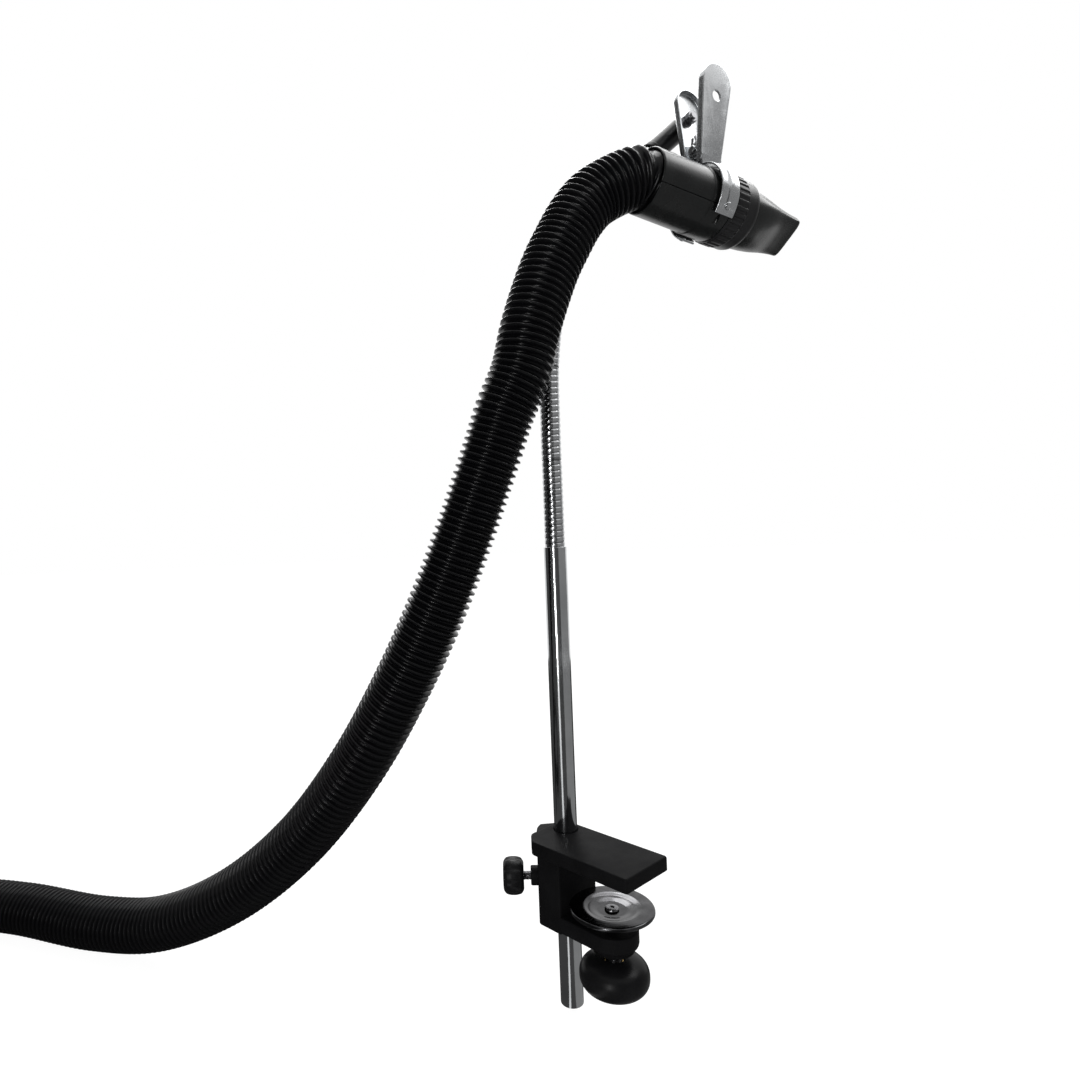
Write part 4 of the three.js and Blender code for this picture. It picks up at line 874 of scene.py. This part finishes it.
# ---------------------------------------------------------------- neck
def neck_link(start, end, first, last):
    """Wound tube between two joints, closed by ball or socket.

    r = valley + rise·|cos(π(s/pitch - a))|^0.55, so the winding climbs one pitch a turn.
    """
    sides = 40
    angle = np.arange(sides) / sides
    rim = math.sqrt(SOCKET_RADIUS ** 2 - LINK_RADIUS ** 2)
    body_start = SPIGOT_LENGTH + GAP if first else start + rim
    marks = np.linspace(body_start, end, int((end - body_start) / LINK_PITCH * 8) + 1)
    wind = np.abs(np.cos(np.pi * (marks[:, None] / LINK_PITCH - angle[None]))) ** 0.55
    fade = np.clip(np.minimum(marks - body_start, end - marks) / 1.2, 0, 1)[:, None]
    depth = wind * fade + (1 - fade) * 0.6
    radii = LINK_VALLEY + (LINK_RADIUS - LINK_VALLEY) * depth
    if first:
        foot_marks = np.array([0.0, 0.6, body_start])
        foot_radii = np.array([SPIGOT_RADIUS - 0.5, SPIGOT_RADIUS, SPIGOT_RADIUS])
    else:
        turn = np.radians(np.linspace(89.5, 18, 9))
        foot_marks, foot_radii = start + SOCKET_RADIUS * np.sin(turn), SOCKET_RADIUS * np.cos(turn)
    ball = np.radians(np.linspace(0, 89.5, 10)) if not last else np.array([])
    ball_marks, ball_radii = end + BALL_RADIUS * np.sin(ball), BALL_RADIUS * np.cos(ball)
    all_marks = np.concatenate([foot_marks, marks, ball_marks])
    all_radii = np.vstack([
        np.repeat(foot_radii[:, None], sides, 1), radii, np.repeat(ball_radii[:, None], sides, 1),
    ])
    # rib depth per point, which the neck finish turns into painted shade in the valleys; 0.3 on the foot and
    # ball
    shade = np.vstack([
        np.full((len(foot_marks), sides), 0.3), depth, np.full((len(ball_marks), sides), 0.3),
    ])
    reference = np.array([1.0, 0.0, 0.0])
    spine = np.clip(all_marks, 0, neck_total)
    grid = swept(neck_line, spine, all_radii, sides, reference)
    if not first:
        grid[:len(foot_marks)] = ball_rings(start, foot_marks - start, foot_radii, sides, reference)
    if not last:
        grid[len(all_marks) - len(ball_marks):] = ball_rings(end, ball_marks - end, ball_radii, sides,
                                                             reference)
    return grid_mesh(grid, "caps", shade)


def ball_rings(mark, pushes, radii, sides, reference):
    """Rings of a true sphere about one point of the neck: centre + push·t + r·(cos a·n + sin a·b)."""
    centre, way = at(neck_line, [mark])[0], ways(neck_line, np.array([mark]))[0]
    normal = unit(reference - way * (way @ reference))
    other = np.cross(way, normal)
    angle = 2 * np.pi * np.arange(sides) / sides
    spokes = np.cos(angle)[:, None] * normal + np.sin(angle)[:, None] * other
    return centre + pushes[:, None, None] * way + radii[:, None, None] * spokes[None]


link_ends = [0, *(SPIGOT_LENGTH + FIRST_LINK + LINK_LENGTH * i for i in range(4)), neck_total]
for number, body in enumerate(("rod", "neck_2", "neck_3", "neck_4", "neck_5")):
    mesh = neck_link(link_ends[number], link_ends[number + 1], number == 0, number == 4)
    piece(f"neck_winding_{number + 1}", mesh, body, "chrome_steel", neck_chrome, f"gooseneck_{number + 1}",
          sharp=70)


def sleeve_fitting():
    """The sleeve over the neck's end: cross boss, collar at its mouth, and two grub screws' recesses."""
    sleeve = turned(eased([
        (0, 0), (SLEEVE_RADIUS - 0.5, 0), (SLEEVE_RADIUS, 0.8), (SLEEVE_RADIUS, 5),
        (SLEEVE_RADIUS - 0.5, 5.5), (SLEEVE_RADIUS - 0.5, SLEEVE_LENGTH - 6),
        (SLEEVE_RADIUS - 1.6, SLEEVE_LENGTH - 2), (SLEEVE_RADIUS - 4, SLEEVE_LENGTH), (0, SLEEVE_LENGTH),
    ], 4, 1.0), SLEEVE, 72)
    boss_start, boss_end = WASHER_THICK + GAP * 2, SWIVEL_REACH + SLEEVE_RADIUS + 0.6
    boss = turned(eased([
        (0, boss_start), (SWIVEL_RADIUS, boss_start), (SWIVEL_RADIUS, boss_end), (0, boss_end),
    ], 4, 0.7), SWIVEL, 56)
    hole = drill(BOLT_BORE, boss_start - 1, boss_end + 1, SWIVEL, 40)
    bore = drill(SLEEVE_INSIDE, -1, SLEEVE_DEPTH, SLEEVE, 56)
    sideways = aimed((0, 0, 0), unit(np.array([-0.45, -0.89, 0.0])))
    grubs = [drill(GRUB_RADIUS, GRUB_FLOOR, 11, SLEEVE @ moved((0, 0, height)) @ sideways)
             for height in GRUB_HEIGHTS]
    return carved(sleeve, [boss], [hole, bore, *grubs])


piece("neck_sleeve", sleeve_fitting(), "neck_5", "black_casting", gloss_knob, "neck_fitting")


# ---------------------------------------------------------------- handle, collar and nozzle
def handle_shell(upper):
    """Half of the turned handle: its profile carried through half a turn, and eased back at the seam."""
    profile = eased([
        (BORE_RADIUS, 0.2), (BORE_RADIUS + 0.3, 0), (RIM_RADIUS - 0.5, 0), (RIM_RADIUS, 0.8),
        (RIM_RADIUS, 3.2), (RIM_RADIUS + 0.05, 4), (GRIP_RADIUS, GRIP_LENGTH),
        (GRIP_RADIUS + 0.6, GRIP_LENGTH + 0.8), (FRONT_RADIUS, SHELL_LENGTH),
        (SPIGOT_OUTSIDE, SHELL_LENGTH), (SPIGOT_OUTSIDE, SPIGOT_END), (THROAT_RADIUS, SPIGOT_END),
        (THROAT_RADIUS, STOP_END), (HOSE_BORE + 0.4, STOP_END), (HOSE_BORE + 0.4, STOP_END - 3),
        (BORE_RADIUS, STOP_END - 3), (BORE_RADIUS, 0.2),
    ], 3, 0.5)[:-1]
    slip = (GAP / 2) / GRIP_RADIUS
    angle = np.concatenate([[slip, slip + 0.012, slip + 0.03], np.linspace(0.06, math.pi - 0.06, 56),
                            [math.pi - slip - 0.03, math.pi - slip - 0.012, math.pi - slip]])
    ease = np.zeros(len(angle))
    ease[[0, -1]], ease[[1, -2]] = 0.45, 0.12
    outer = (profile[:, 0] > 21.9) & (profile[:, 1] < SHELL_LENGTH - 0.2)
    radius = profile[None, :, 0] - ease[:, None] * outer[None]
    turn = angle + SEAM_TURN + (0 if upper else math.pi)
    rings = np.stack([radius * np.cos(turn)[:, None], radius * np.sin(turn)[:, None],
                      np.broadcast_to(profile[None, :, 1], radius.shape)], -1)
    shell = grid_mesh(put(rings, HEAD))
    cuts = []
    for side in (-SHELL_SCREW_SIDE, SHELL_SCREW_SIDE):
        place = screw_place(side)
        cuts += [drill(1.2, -3.9, 3.5, place), drill(1.8, -12, -3.6, place)]
    return carved(shell, [], cuts)


def screw_place(side):
    """Place of a shell screw: beside the bore at the seam, its Z across the seam."""
    across = basis((side, 0, SHELL_SCREW_PLACE), (1, 0, 0), (0, 0, -1), (0, 1, 0))
    return HEAD @ turned_z(SEAM_TURN) @ across


for name in ("upper", "lower"):
    piece(f"{name}_shell", handle_shell(name == "upper"), "handle", "gloss_handle", gloss_handle,
          f"handle_{name}_shell", sharp=40)
for number, side in enumerate((-SHELL_SCREW_SIDE, SHELL_SCREW_SIDE), 1):
    place = screw_place(side)
    screw = turned(eased([
        (0, -5.5), (1.25, -5.5), (1.5, -5.2), (1.5, -3.7), (0.9, -3.7), (0.9, 3.0), (0, 3.0),
    ], 3, 0.25), place, 32)
    slots = [slab(rounded([(-x, -y), (x, -y), (x, y), (-x, y)], 0.05), -6, -4.9, place, (0, 0))
             for x, y in ((1.05, 0.18), (0.18, 1.05))]
    piece(f"shell_screw_{number}", carved(screw, [], slots), "handle", "dark_steel", thread_steel,
          f"handle_screw_{number}")
stop_section = ring_section(STOP_INSIDE, STOP_RADIUS, HOSE_DEPTH + GAP, HOSE_DEPTH + 1.5)
piece("hose_stop", turned(eased(stop_section, 2, 0.3), HEAD, 64), "handle", "rubber_pad", pad_rubber,
      "hose_stop_ring")
seal_start = SPIGOT_END + GAP
seal_section = ring_section(SEAL_INSIDE, SEAL_RADIUS, seal_start, seal_start + SEAL_THICK)
piece("collar_washer", turned(eased(seal_section, 3, 0.5), HEAD, 64), "handle", "rubber_pad", pad_rubber,
      "collar_seal")

collar_end = COLLAR_START + COLLAR_LENGTH
lip_start = collar_end - COLLAR_LIP
collar_bore = SPIGOT_OUTSIDE + 0.4


def collar_knurls(angle, radius, height):
    """Raised grips round the collar: square-shouldered lobes between two plain bands, on the outer face."""
    knurled = (height > COLLAR_START + 2.2) & (height < COLLAR_START + KNURL_END - 0.4)
    face = (radius > COLLAR_RADIUS - 0.9) & knurled
    lobe = np.clip(2.6 * np.cos(KNURLS * angle) + 0.6, 0, 1)
    return radius - KNURL_DEPTH * face * (1 - lobe)


collar_profile = eased([
    (collar_bore, COLLAR_START), (COLLAR_RADIUS - 1.2, COLLAR_START),
    (COLLAR_RADIUS - KNURL_DEPTH, COLLAR_START + 0.8), (COLLAR_RADIUS - KNURL_DEPTH, COLLAR_START + 1.9),
    (COLLAR_RADIUS, COLLAR_START + 2.6), (COLLAR_RADIUS, COLLAR_START + KNURL_END - 0.7),
    (COLLAR_RADIUS - KNURL_DEPTH, COLLAR_START + KNURL_END), (COLLAR_RADIUS - 0.5, collar_end - 3.0),
    (COLLAR_RADIUS - 1.1, collar_end - 0.8), (COLLAR_RADIUS - 2.2, collar_end),
    (NOZZLE_RADIUS + GAP, collar_end), (NOZZLE_RADIUS + GAP, lip_start), (collar_bore, lip_start),
    (collar_bore, COLLAR_START),
], 3, 0.35)
piece("knurled_collar", turned(collar_profile, HEAD, 384, collar_knurls), "nozzle", "satin_plastic",
      satin_black, "nozzle_collar", sharp=45)


def nozzle_ring(height, share, inset, sides=96):
    """A ring between a circle and the mouth's rounded slot: |x/a|^n + |y/b|^n = 1, with n from 2 to 4.5."""
    half = [(1 - share) * NOZZLE_RADIUS + share * side / 2 - inset for side in (MOUTH_WIDTH, MOUTH_HEIGHT)]
    power = 2 / (2 + 2.5 * share)
    angle = 2 * np.pi * np.arange(sides) / sides
    x = half[0] * np.sign(np.cos(angle)) * np.abs(np.cos(angle)) ** power
    y = half[1] * np.sign(np.sin(angle)) * np.abs(np.sin(angle)) ** power
    flat = np.stack([x, y, np.full(sides, float(height))], -1)
    return put(flat, turned_z(MOUTH_TURN))


def flat_nozzle():
    """Round flange and neck, then the flare to the flat mouth, with a rolled edge and a hollow inside."""
    start, mouth = lip_start - GAP - 2.5, collar_end + NOZZLE_LENGTH
    flange = SPIGOT_OUTSIDE - 0.2
    rings = [nozzle_ring(z, 0, NOZZLE_RADIUS - r) for r, z in (
        (flange - 0.4, start), (flange, start + 0.4), (flange, start + 2.1), (flange - 0.4, start + 2.5),
        (NOZZLE_RADIUS, start + 2.5),
    )]
    shares = np.linspace(0, 1, 40)
    flare = np.interp(shares, [0, 0.15, 0.4, 0.65, 0.88, 1], [0, 0.08, 0.38, 0.75, 0.96, 1])
    smooth = np.convolve(np.pad(flare, 3, "edge"), np.ones(7) / 7, "valid")
    smooth[0], smooth[-1] = 0, 1
    heights = collar_end + (mouth - collar_end) * shares
    rings += [nozzle_ring(z, f, 0) for z, f in zip(heights[:-1], smooth[:-1])]
    rings += [nozzle_ring(z, 1, inset) for z, inset in (
        (mouth - 0.5, 0), (mouth - 0.12, 0.15), (mouth, 0.5), (mouth, NOZZLE_WALL - 0.4),
        (mouth - 0.4, NOZZLE_WALL),
    )]
    rings += [nozzle_ring(z, f, NOZZLE_WALL) for z, f in zip(heights[-2::-1], smooth[-2::-1])]
    rings += [nozzle_ring(start, 0, NOZZLE_WALL)]
    return grid_mesh(put(rings, HEAD), "loop")


piece("flat_mouth_nozzle", flat_nozzle(), "nozzle", "satin_plastic", gloss_handle, "flat_nozzle", sharp=50)


# ---------------------------------------------------------------- spring clip
def lever_outline(inset, foot):
    """A lever's face: sides that widen to the round top."""
    top, half = LEVER_TOP / 2 - inset, LEVER_FOOT / 2 - inset
    middle = LEVER_LENGTH - LEVER_TOP / 2
    return np.vstack([[(-half, foot), (half, foot)], arc(0, middle, top, 0, 180, 40)])


def band_section(bead):
    """Section across the band, as (outwards, across) pairs: flat steel, round edges and a raised bead."""
    half = BAND_WIDTH / 2
    across = np.linspace(-half + 0.7, half - 0.7, 41)
    lift = bead * np.exp(-(across / 2.3) ** 4)
    outer = np.stack([STEEL + lift, across], -1)
    inner = np.stack([lift * 0.6, across], -1)[::-1]
    edge = np.radians(np.linspace(60, -60, 5))
    right = np.stack([STEEL / 2 + np.sin(edge) * STEEL / 2, half - 0.7 + np.cos(edge) * 0.7], -1)
    left = np.stack([STEEL / 2 - np.sin(edge) * STEEL / 2, -half + 0.7 - np.cos(edge) * 0.7], -1)
    return np.vstack([outer, right, inner, left])


def mirrored(points, side):
    points = np.array(points, float)
    points[..., 0] *= side
    return points


def clip_jaw(name):
    """Band round the handle, flanged lever, and the two ears that hold the pin."""
    side, lean = LEANS[name]
    place = CLIP @ lever_place(side, lean)
    section, flat = band_section(BAND_BEAD), band_section(0.0)
    angle = np.radians(np.linspace(BAND_END, BAND_START + 4, 60))
    rise = np.clip((angle - angle[0]) / math.radians(16), 0, 1)
    fade = rise * np.clip((angle[-1] - angle) / math.radians(10), 0, 1)
    mix = flat[None] + (section - flat)[None] * (fade ** 0.7)[:, None, None]
    radius = BAND_INSIDE + mix[..., 0]
    band = np.stack([side * radius * np.cos(angle)[:, None], radius * np.sin(angle)[:, None], mix[..., 1]],
                    -1)
    tray = carved(slab(lever_outline(0, FACE_START), 0, FLANGE, place, (1.3, 0.3), 5), [], [
        slab(lever_outline(STEEL, -3), STEEL, FLANGE + 1, place, (0.5, 0)),
    ])
    half, straight = BAND_WIDTH / 2, LEVER_LENGTH - LEVER_TOP / 2 - FACE_START
    wide = LEVER_FOOT / 2 + (LEVER_TOP - LEVER_FOOT) / 2 * (FOOT_END - FACE_START) / straight
    foot = slab([(-half, -0.9), (half, -0.9), (wide - 0.2, FOOT_END), (0.2 - wide, FOOT_END)], 0, STEEL,
                place, (0.4, 0.2))
    lean_rise = math.tan(lean)
    root = FOOT_SIDE - STEEL / 2
    ear = mirrored([
        (root + lean_rise * 6, FOOT_HEIGHT + 6), (root + lean_rise * 26, FOOT_HEIGHT + 26),
        *arc(0, PIN_HEIGHT, EAR_RADIUS, 75, 285, 24),
    ], side)
    inner = BAND_WIDTH / 2 - STEEL if name == "front" else BAND_WIDTH / 2 - 2 * STEEL - GAP
    ears = [slab(ear, near, near + STEEL, CLIP, (0.25, 0.25)) for near in (inner, -inner - STEEL)]
    pin_hole = drill(PIN_RADIUS + GAP, -20, 20, PIN_PLACE, 40)
    hole = BOLT_BORE if name == "rear" else FRONT_HOLE
    bolt_hole = turned([(0, -1), (hole + 0.9, -1), (hole, 0.6), (hole, FLANGE), (0, FLANGE)],
                       place @ moved((0, SWIVEL_HEIGHT, 0)), 40)
    rivet_hole = drill(RIVET_HOLE, PAD_INSIDE - 1, BAND_OUTSIDE + 2, CLIP @ rivet_place(side))
    return carved(grid_mesh(put(band, CLIP)), [tray, foot, *ears], [pin_hole, bolt_hole, rivet_hole])


def rivet_place(side):
    """Way of a rivet, out through the band."""
    return aimed((0, 0, 0), np.array([side * math.cos(RIVET_ANGLE), math.sin(RIVET_ANGLE), 0.0]))


def grip_pad(side):
    """A curved rubber pad: a rounded strip carried along the band, with cross grooves on its inner face."""
    corners = [(0, -PAD_HALF), (PAD_THICK, -PAD_HALF), (PAD_THICK, PAD_HALF), (0, PAD_HALF)]
    section = rounded(corners, 0.3, 3)
    angle = np.radians(np.linspace(BAND_END, BAND_END + PAD_SPAN, 61))
    groove = 0.35 * (np.sin(angle * 60) > 0.55)
    radius = PAD_INSIDE + np.maximum(section[None, :, 0], groove[:, None])
    rings = np.stack([side * radius * np.cos(angle)[:, None], radius * np.sin(angle)[:, None],
                      np.broadcast_to(section[None, :, 1], radius.shape)], -1)
    hole = drill(RIVET_HOLE, PAD_INSIDE - 2, BAND_OUTSIDE + 2, CLIP @ rivet_place(side))
    return carved(grid_mesh(put(rings, CLIP)), [], [hole])


def pad_rivet(side):
    """A rivet from the pad's inner face to its domed head on the band."""
    head = BAND_OUTSIDE + GAP
    return turned(eased([
        (0, PAD_INSIDE + 0.3), (RIVET_RADIUS, PAD_INSIDE + 0.3), (RIVET_RADIUS, head),
        (RIVET_RADIUS * 1.9, head), (RIVET_RADIUS * 1.75, head + 0.5), (RIVET_RADIUS * 1.2, head + 1.05),
        (0.5, head + 1.3), (0, head + 1.3),
    ], 3, 0.3), CLIP @ rivet_place(side), 32)


for name, body in (("front", "clip_front"), ("rear", "clip_base")):
    side = LEANS[name][0]
    piece(f"{name}_jaw", clip_jaw(name), body, "chrome_steel", pressed_chrome, f"clip_{name}_lever")
    piece(f"{name}_grip_pad", grip_pad(side), body, "rubber_pad", pad_rubber, f"clip_{name}_pad")
    piece(f"{name}_pad_rivet", pad_rivet(side), body, "chrome_steel", chrome, f"clip_{name}_rivet")

pin_end = BAND_WIDTH / 2 + GAP
piece("jaw_pin", turned(eased([
    (0, -pin_end - 1.2), (PIN_HEAD - 0.5, -pin_end - 1.2), (PIN_HEAD, -pin_end), (PIN_RADIUS, -pin_end),
    (PIN_RADIUS, pin_end), (PIN_HEAD, pin_end), (PIN_HEAD - 0.5, pin_end + 1.2), (0, pin_end + 1.2),
], 3, 0.3), PIN_PLACE, 48), "clip_base", "chrome_steel", chrome, "clip_pin")


def torsion_spring():
    """Wire of round section along a leg, the helix round the pin, and the other leg."""
    half = SPRING_TURNS * SPRING_PITCH / 2
    share = np.linspace(0, 1, int(SPRING_TURNS * 36) + 1)
    angle = math.pi + share * SPRING_TURNS * 2 * math.pi
    helix = np.stack([SPRING_RADIUS * np.cos(angle), PIN_HEIGHT + SPRING_RADIUS * np.sin(angle),
                      half * (2 * share - 1)], -1)
    legs = []
    for name in ("front", "rear"):
        side, lean = LEANS[name]
        face = FOOT_SIDE + math.tan(lean) * (PIN_HEIGHT + SPRING_LEG - FOOT_HEIGHT)
        reach = face - STEEL * 1.02 - SPRING_WIRE - GAP
        tip = np.array([side * reach, PIN_HEIGHT + SPRING_LEG, side * half])
        bend = np.array([side * (SPRING_RADIUS + 0.3), PIN_HEIGHT + 6, side * half])
        foot = np.array([side * SPRING_RADIUS, PIN_HEIGHT + 2.5, side * half])
        legs.append([foot, bend, bend * 0.5 + tip * 0.5, tip])
    path = np.vstack([catmull([*legs[0][::-1], helix[0]], 10)[:-1], helix,
                      catmull([helix[-1], *legs[1]], 10)[1:]])
    path = put(path, CLIP)
    marks = np.linspace(0, lengths(path)[-1], 420)
    return grid_mesh(swept(path, marks, np.full(len(marks), SPRING_WIRE), 12, CLIP[:3, 2]))


spring = piece("torsion_spring", torsion_spring(), None, "dark_steel", thread_steel, "clip_spring",
               sharp=60)
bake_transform(spring)


# ---------------------------------------------------------------- swivel
def hexagon(radius, bottom, top):
    """A hexagon head: the six-sided prism met with a chamfering cone, by r = min(hex(a), cone(z))."""
    sides = 96
    angle = 2 * np.pi * np.arange(sides) / sides
    flat = radius * math.cos(math.pi / 6)
    side = flat / np.cos((angle + math.pi / 6) % (math.pi / 3) - math.pi / 6)
    rings = []
    for z, limit in ((bottom, flat - 0.05), (bottom + 0.35, radius + 0.1), (top - 0.35, radius + 0.1),
                     (top, flat - 0.05)):
        r = np.minimum(side, limit)
        rings.append(np.stack([r * np.cos(angle), r * np.sin(angle), np.full(sides, z)], -1))
    return grid_mesh(put(rings, SWIVEL))


boss_end = SWIVEL_REACH + SLEEVE_RADIUS + 0.6
nut_top = -STEEL - GAP
washer_section = ring_section(BOLT_BORE, WASHER_RADIUS, GAP, GAP + WASHER_THICK)
piece("pivot_washer", turned(eased(washer_section, 2, 0.15), SWIVEL, 56), "clip_base", "dark_steel",
      thread_steel, "swivel_washer")
nut = carved(hexagon(BOLT_HEAD, nut_top - NUT_HEIGHT, nut_top), [], [drill(BOLT_BORE, -20, 0, SWIVEL, 32)])
piece("pivot_nut", nut, "clip_base", "dark_steel", thread_steel, "swivel_nut")
piece("pivot_bolt", carved(hexagon(BOLT_HEAD, boss_end + GAP, boss_end + GAP + BOLT_HEAD_HEIGHT), [
    threaded(nut_top - NUT_HEIGHT - 1.5, boss_end + GAP + 1, BOLT_RADIUS, 0.8, 0.3, SWIVEL, 28, 6),
]), "clip_base", "dark_steel", thread_steel, "swivel_bolt")


# ---------------------------------------------------------------- floor, light and world
# upright grey cards round the stand: (name, first and last heading from the camera's side in degrees,
# lowest and highest point in metres, grey level); headings grow to the camera's right
CARDS = (
    ("dark_card_left", -128, -32, -0.12, 2.1, 0.07),
    ("dark_card_middle", -17, 24, -0.12, 2.1, 0.08),
    ("grey_card_right", 24, 118, -0.12, 1.25, 0.3),
)
# the floor behind the stand, which has no card: (name, first and last heading, grey level)
BACK_MAT = ("dark_mat_back", 118, 232, 0.06)
CARD_RADIUS = 1.5  # metres
# soft lamps: (name, place, point that it faces, width and height, watts), in metres
LAMPS = (
    ("top_softbox", (0.0, 0.2, 1.7), (-0.05, 0, 0.2), (0.6, 0.6), 5),
    ("back_softbox", (-0.35, 0.8, 1.5), (0, 0.1, 0.45), (0.9, 0.8), 9),
    ("bend_softbox", (-1.0, 0.75, 1.35), (0, 0, 0.45), (0.5, 0.8), 9),
    ("left_strip", (0.45, -1.2, 0.35), (0, 0, 0.25), (0.05, 0.9), 6),
    ("side_softbox", (0.5, 1.05, 1.5), (0, 0.1, 0.45), (0.8, 0.6), 5.5),
)
FLOOR_HALF = 30.0  # metres
FLOOR_TONE, FLOOR_GLOW, FLOOR_SHARE = (0.92, 0.92, 0.92), 1.16, 0.82
WORLD_LEVEL = 0.45
WHITE = (1, 1, 1, 1)


def grey_glow(name, level):
    """A plain grey that glows at its own level."""
    material, nodes, links, _ = new_finish(name)
    glow = nodes.new("ShaderNodeEmission")
    glow.inputs["Strength"].default_value = level
    links.new(glow.outputs[0], nodes["Material Output"].inputs["Surface"])
    return material


def only_reflected(thing, level):
    """Gives a studio card its grey glow and hides it from all but reflections."""
    thing.data.materials.append(grey_glow(thing.name + "_grey", level))
    thing.visible_camera = False
    thing.visible_diffuse = False
    thing.visible_transmission = False
    thing.visible_shadow = False


def reflection_card(name, start, end, low, high, level):
    """Part of an upright cylinder round the stand: (R·sin h, -R·cos h, z) for headings h."""
    heading = np.radians(np.linspace(start, end, 25) + CAMERA_HEADING)
    foot = np.stack([CARD_RADIUS * np.sin(heading), -CARD_RADIUS * np.cos(heading)], -1)
    rows = [np.column_stack([foot, np.full(len(foot), z)]) for z in (low, high)]
    mesh = bpy.data.meshes.new(name)
    count = len(foot)
    faces = [(i, i + 1, count + i + 1, count + i) for i in range(count - 1)]
    mesh.from_pydata(np.vstack(rows).tolist(), [], faces)
    only_reflected(shown(mesh, name), level)


def floor_mat(name, start, end, level):
    """A sector of the floor about the rod's foot between two headings, seen in reflections alone."""
    heading = np.radians(np.linspace(start, end, 25) + CAMERA_HEADING)
    centre = ROD_AXIS[:2] * MM
    rim = centre + CARD_RADIUS * np.stack([np.sin(heading), -np.cos(heading)], -1)
    level_line = np.full((len(rim) + 1, 1), (FLOOR - 0.1) * MM)
    mesh = bpy.data.meshes.new(name)
    mesh.from_pydata(np.hstack([np.vstack([centre, rim]), level_line]).tolist(), [],
                     [tuple(range(len(rim) + 1))])
    only_reflected(shown(mesh, name), level)


def any_ray(nodes, links, *kinds):
    """1 for rays of any of these kinds, else 0: the greatest of their marks."""
    rays = nodes.new("ShaderNodeLightPath")
    found, *others = (rays.outputs[kind] for kind in kinds)
    for other in others:
        either = nodes.new("ShaderNodeMath")
        either.operation = "MAXIMUM"
        links.new(found, either.inputs[0])
        links.new(other, either.inputs[1])
        found = either.outputs[0]
    return found


def mixed_out(nodes, links, factor, first, second, output):
    """Mixes two shaders by a factor into the tree's output."""
    mix = nodes.new("ShaderNodeMixShader")
    for i, value in enumerate((factor, first, second)):
        links.new(value, mix.inputs[i])
    links.new(mix.outputs[0], nodes[output].inputs["Surface"])


def white_floor():
    """Pale floor that shows nearly white to the camera and in reflections, but keeps a soft shadow."""
    mesh = bpy.data.meshes.new("floor")
    z = (FLOOR - 0.2) * MM
    corners = [(-FLOOR_HALF, -FLOOR_HALF, z), (FLOOR_HALF, -FLOOR_HALF, z), (FLOOR_HALF, FLOOR_HALF, z),
               (-FLOOR_HALF, FLOOR_HALF, z)]
    mesh.from_pydata(corners, [], [(0, 1, 2, 3)])
    floor = shown(mesh, "floor")
    material, nodes, links, shader = new_finish("floor_white")
    shader.inputs["Base Color"].default_value = (*FLOOR_TONE, 1)
    shader.inputs["Roughness"].default_value = 0.9
    shader.inputs["Specular IOR Level"].default_value = 0.0
    glow = nodes.new("ShaderNodeEmission")
    glow.inputs["Strength"].default_value = FLOOR_GLOW
    share = nodes.new("ShaderNodeMath")
    share.operation = "MULTIPLY"
    share.inputs[1].default_value = FLOOR_SHARE
    links.new(any_ray(nodes, links, "Is Camera Ray", "Is Glossy Ray"), share.inputs[0])
    mixed_out(nodes, links, share.outputs[0], shader.outputs[0], glow.outputs[0], "Material Output")
    mesh.materials.append(material)


def even_world():
    """An even world, white to the camera, in reflections and through clear pieces."""
    world = bpy.data.worlds.new("studio")
    bpy.context.scene.world = world
    world.use_nodes = True
    nodes, links = world.node_tree.nodes, world.node_tree.links
    even, white = nodes["Background"], nodes.new("ShaderNodeBackground")
    for light, level in ((even, WORLD_LEVEL), (white, 1.0)):
        light.inputs["Strength"].default_value = level
        light.inputs["Color"].default_value = WHITE
    seen = any_ray(nodes, links, "Is Camera Ray", "Is Glossy Ray", "Is Transmission Ray")
    mixed_out(nodes, links, seen, even.outputs[0], white.outputs[0], "World Output")


def soft_lamp(name, place, target, size, power):
    """A rectangular lamp at a place, facing a point."""
    data = bpy.data.lights.new(name, "AREA")
    data.shape = "RECTANGLE"
    data.size, data.size_y = size
    data.energy = power
    lamp = bpy.data.objects.new(name, data)
    bpy.context.scene.collection.objects.link(lamp)
    z_way = unit(np.array(place) - target)
    x_way = unit(np.cross((0, 0.001, 1), z_way))
    lamp.matrix_world = Matrix(basis(place, x_way, np.cross(z_way, x_way), z_way).tolist())


white_floor()
even_world()
floor_mat(*BACK_MAT)
for name, start, end, low, high, level in CARDS:
    reflection_card(name, start, end, low, high, level)
    floor_mat(name + "_mat", start, end, level)
for lamp in LAMPS:
    soft_lamp(*lamp)
bpy.context.scene.view_settings.view_transform = "Standard"
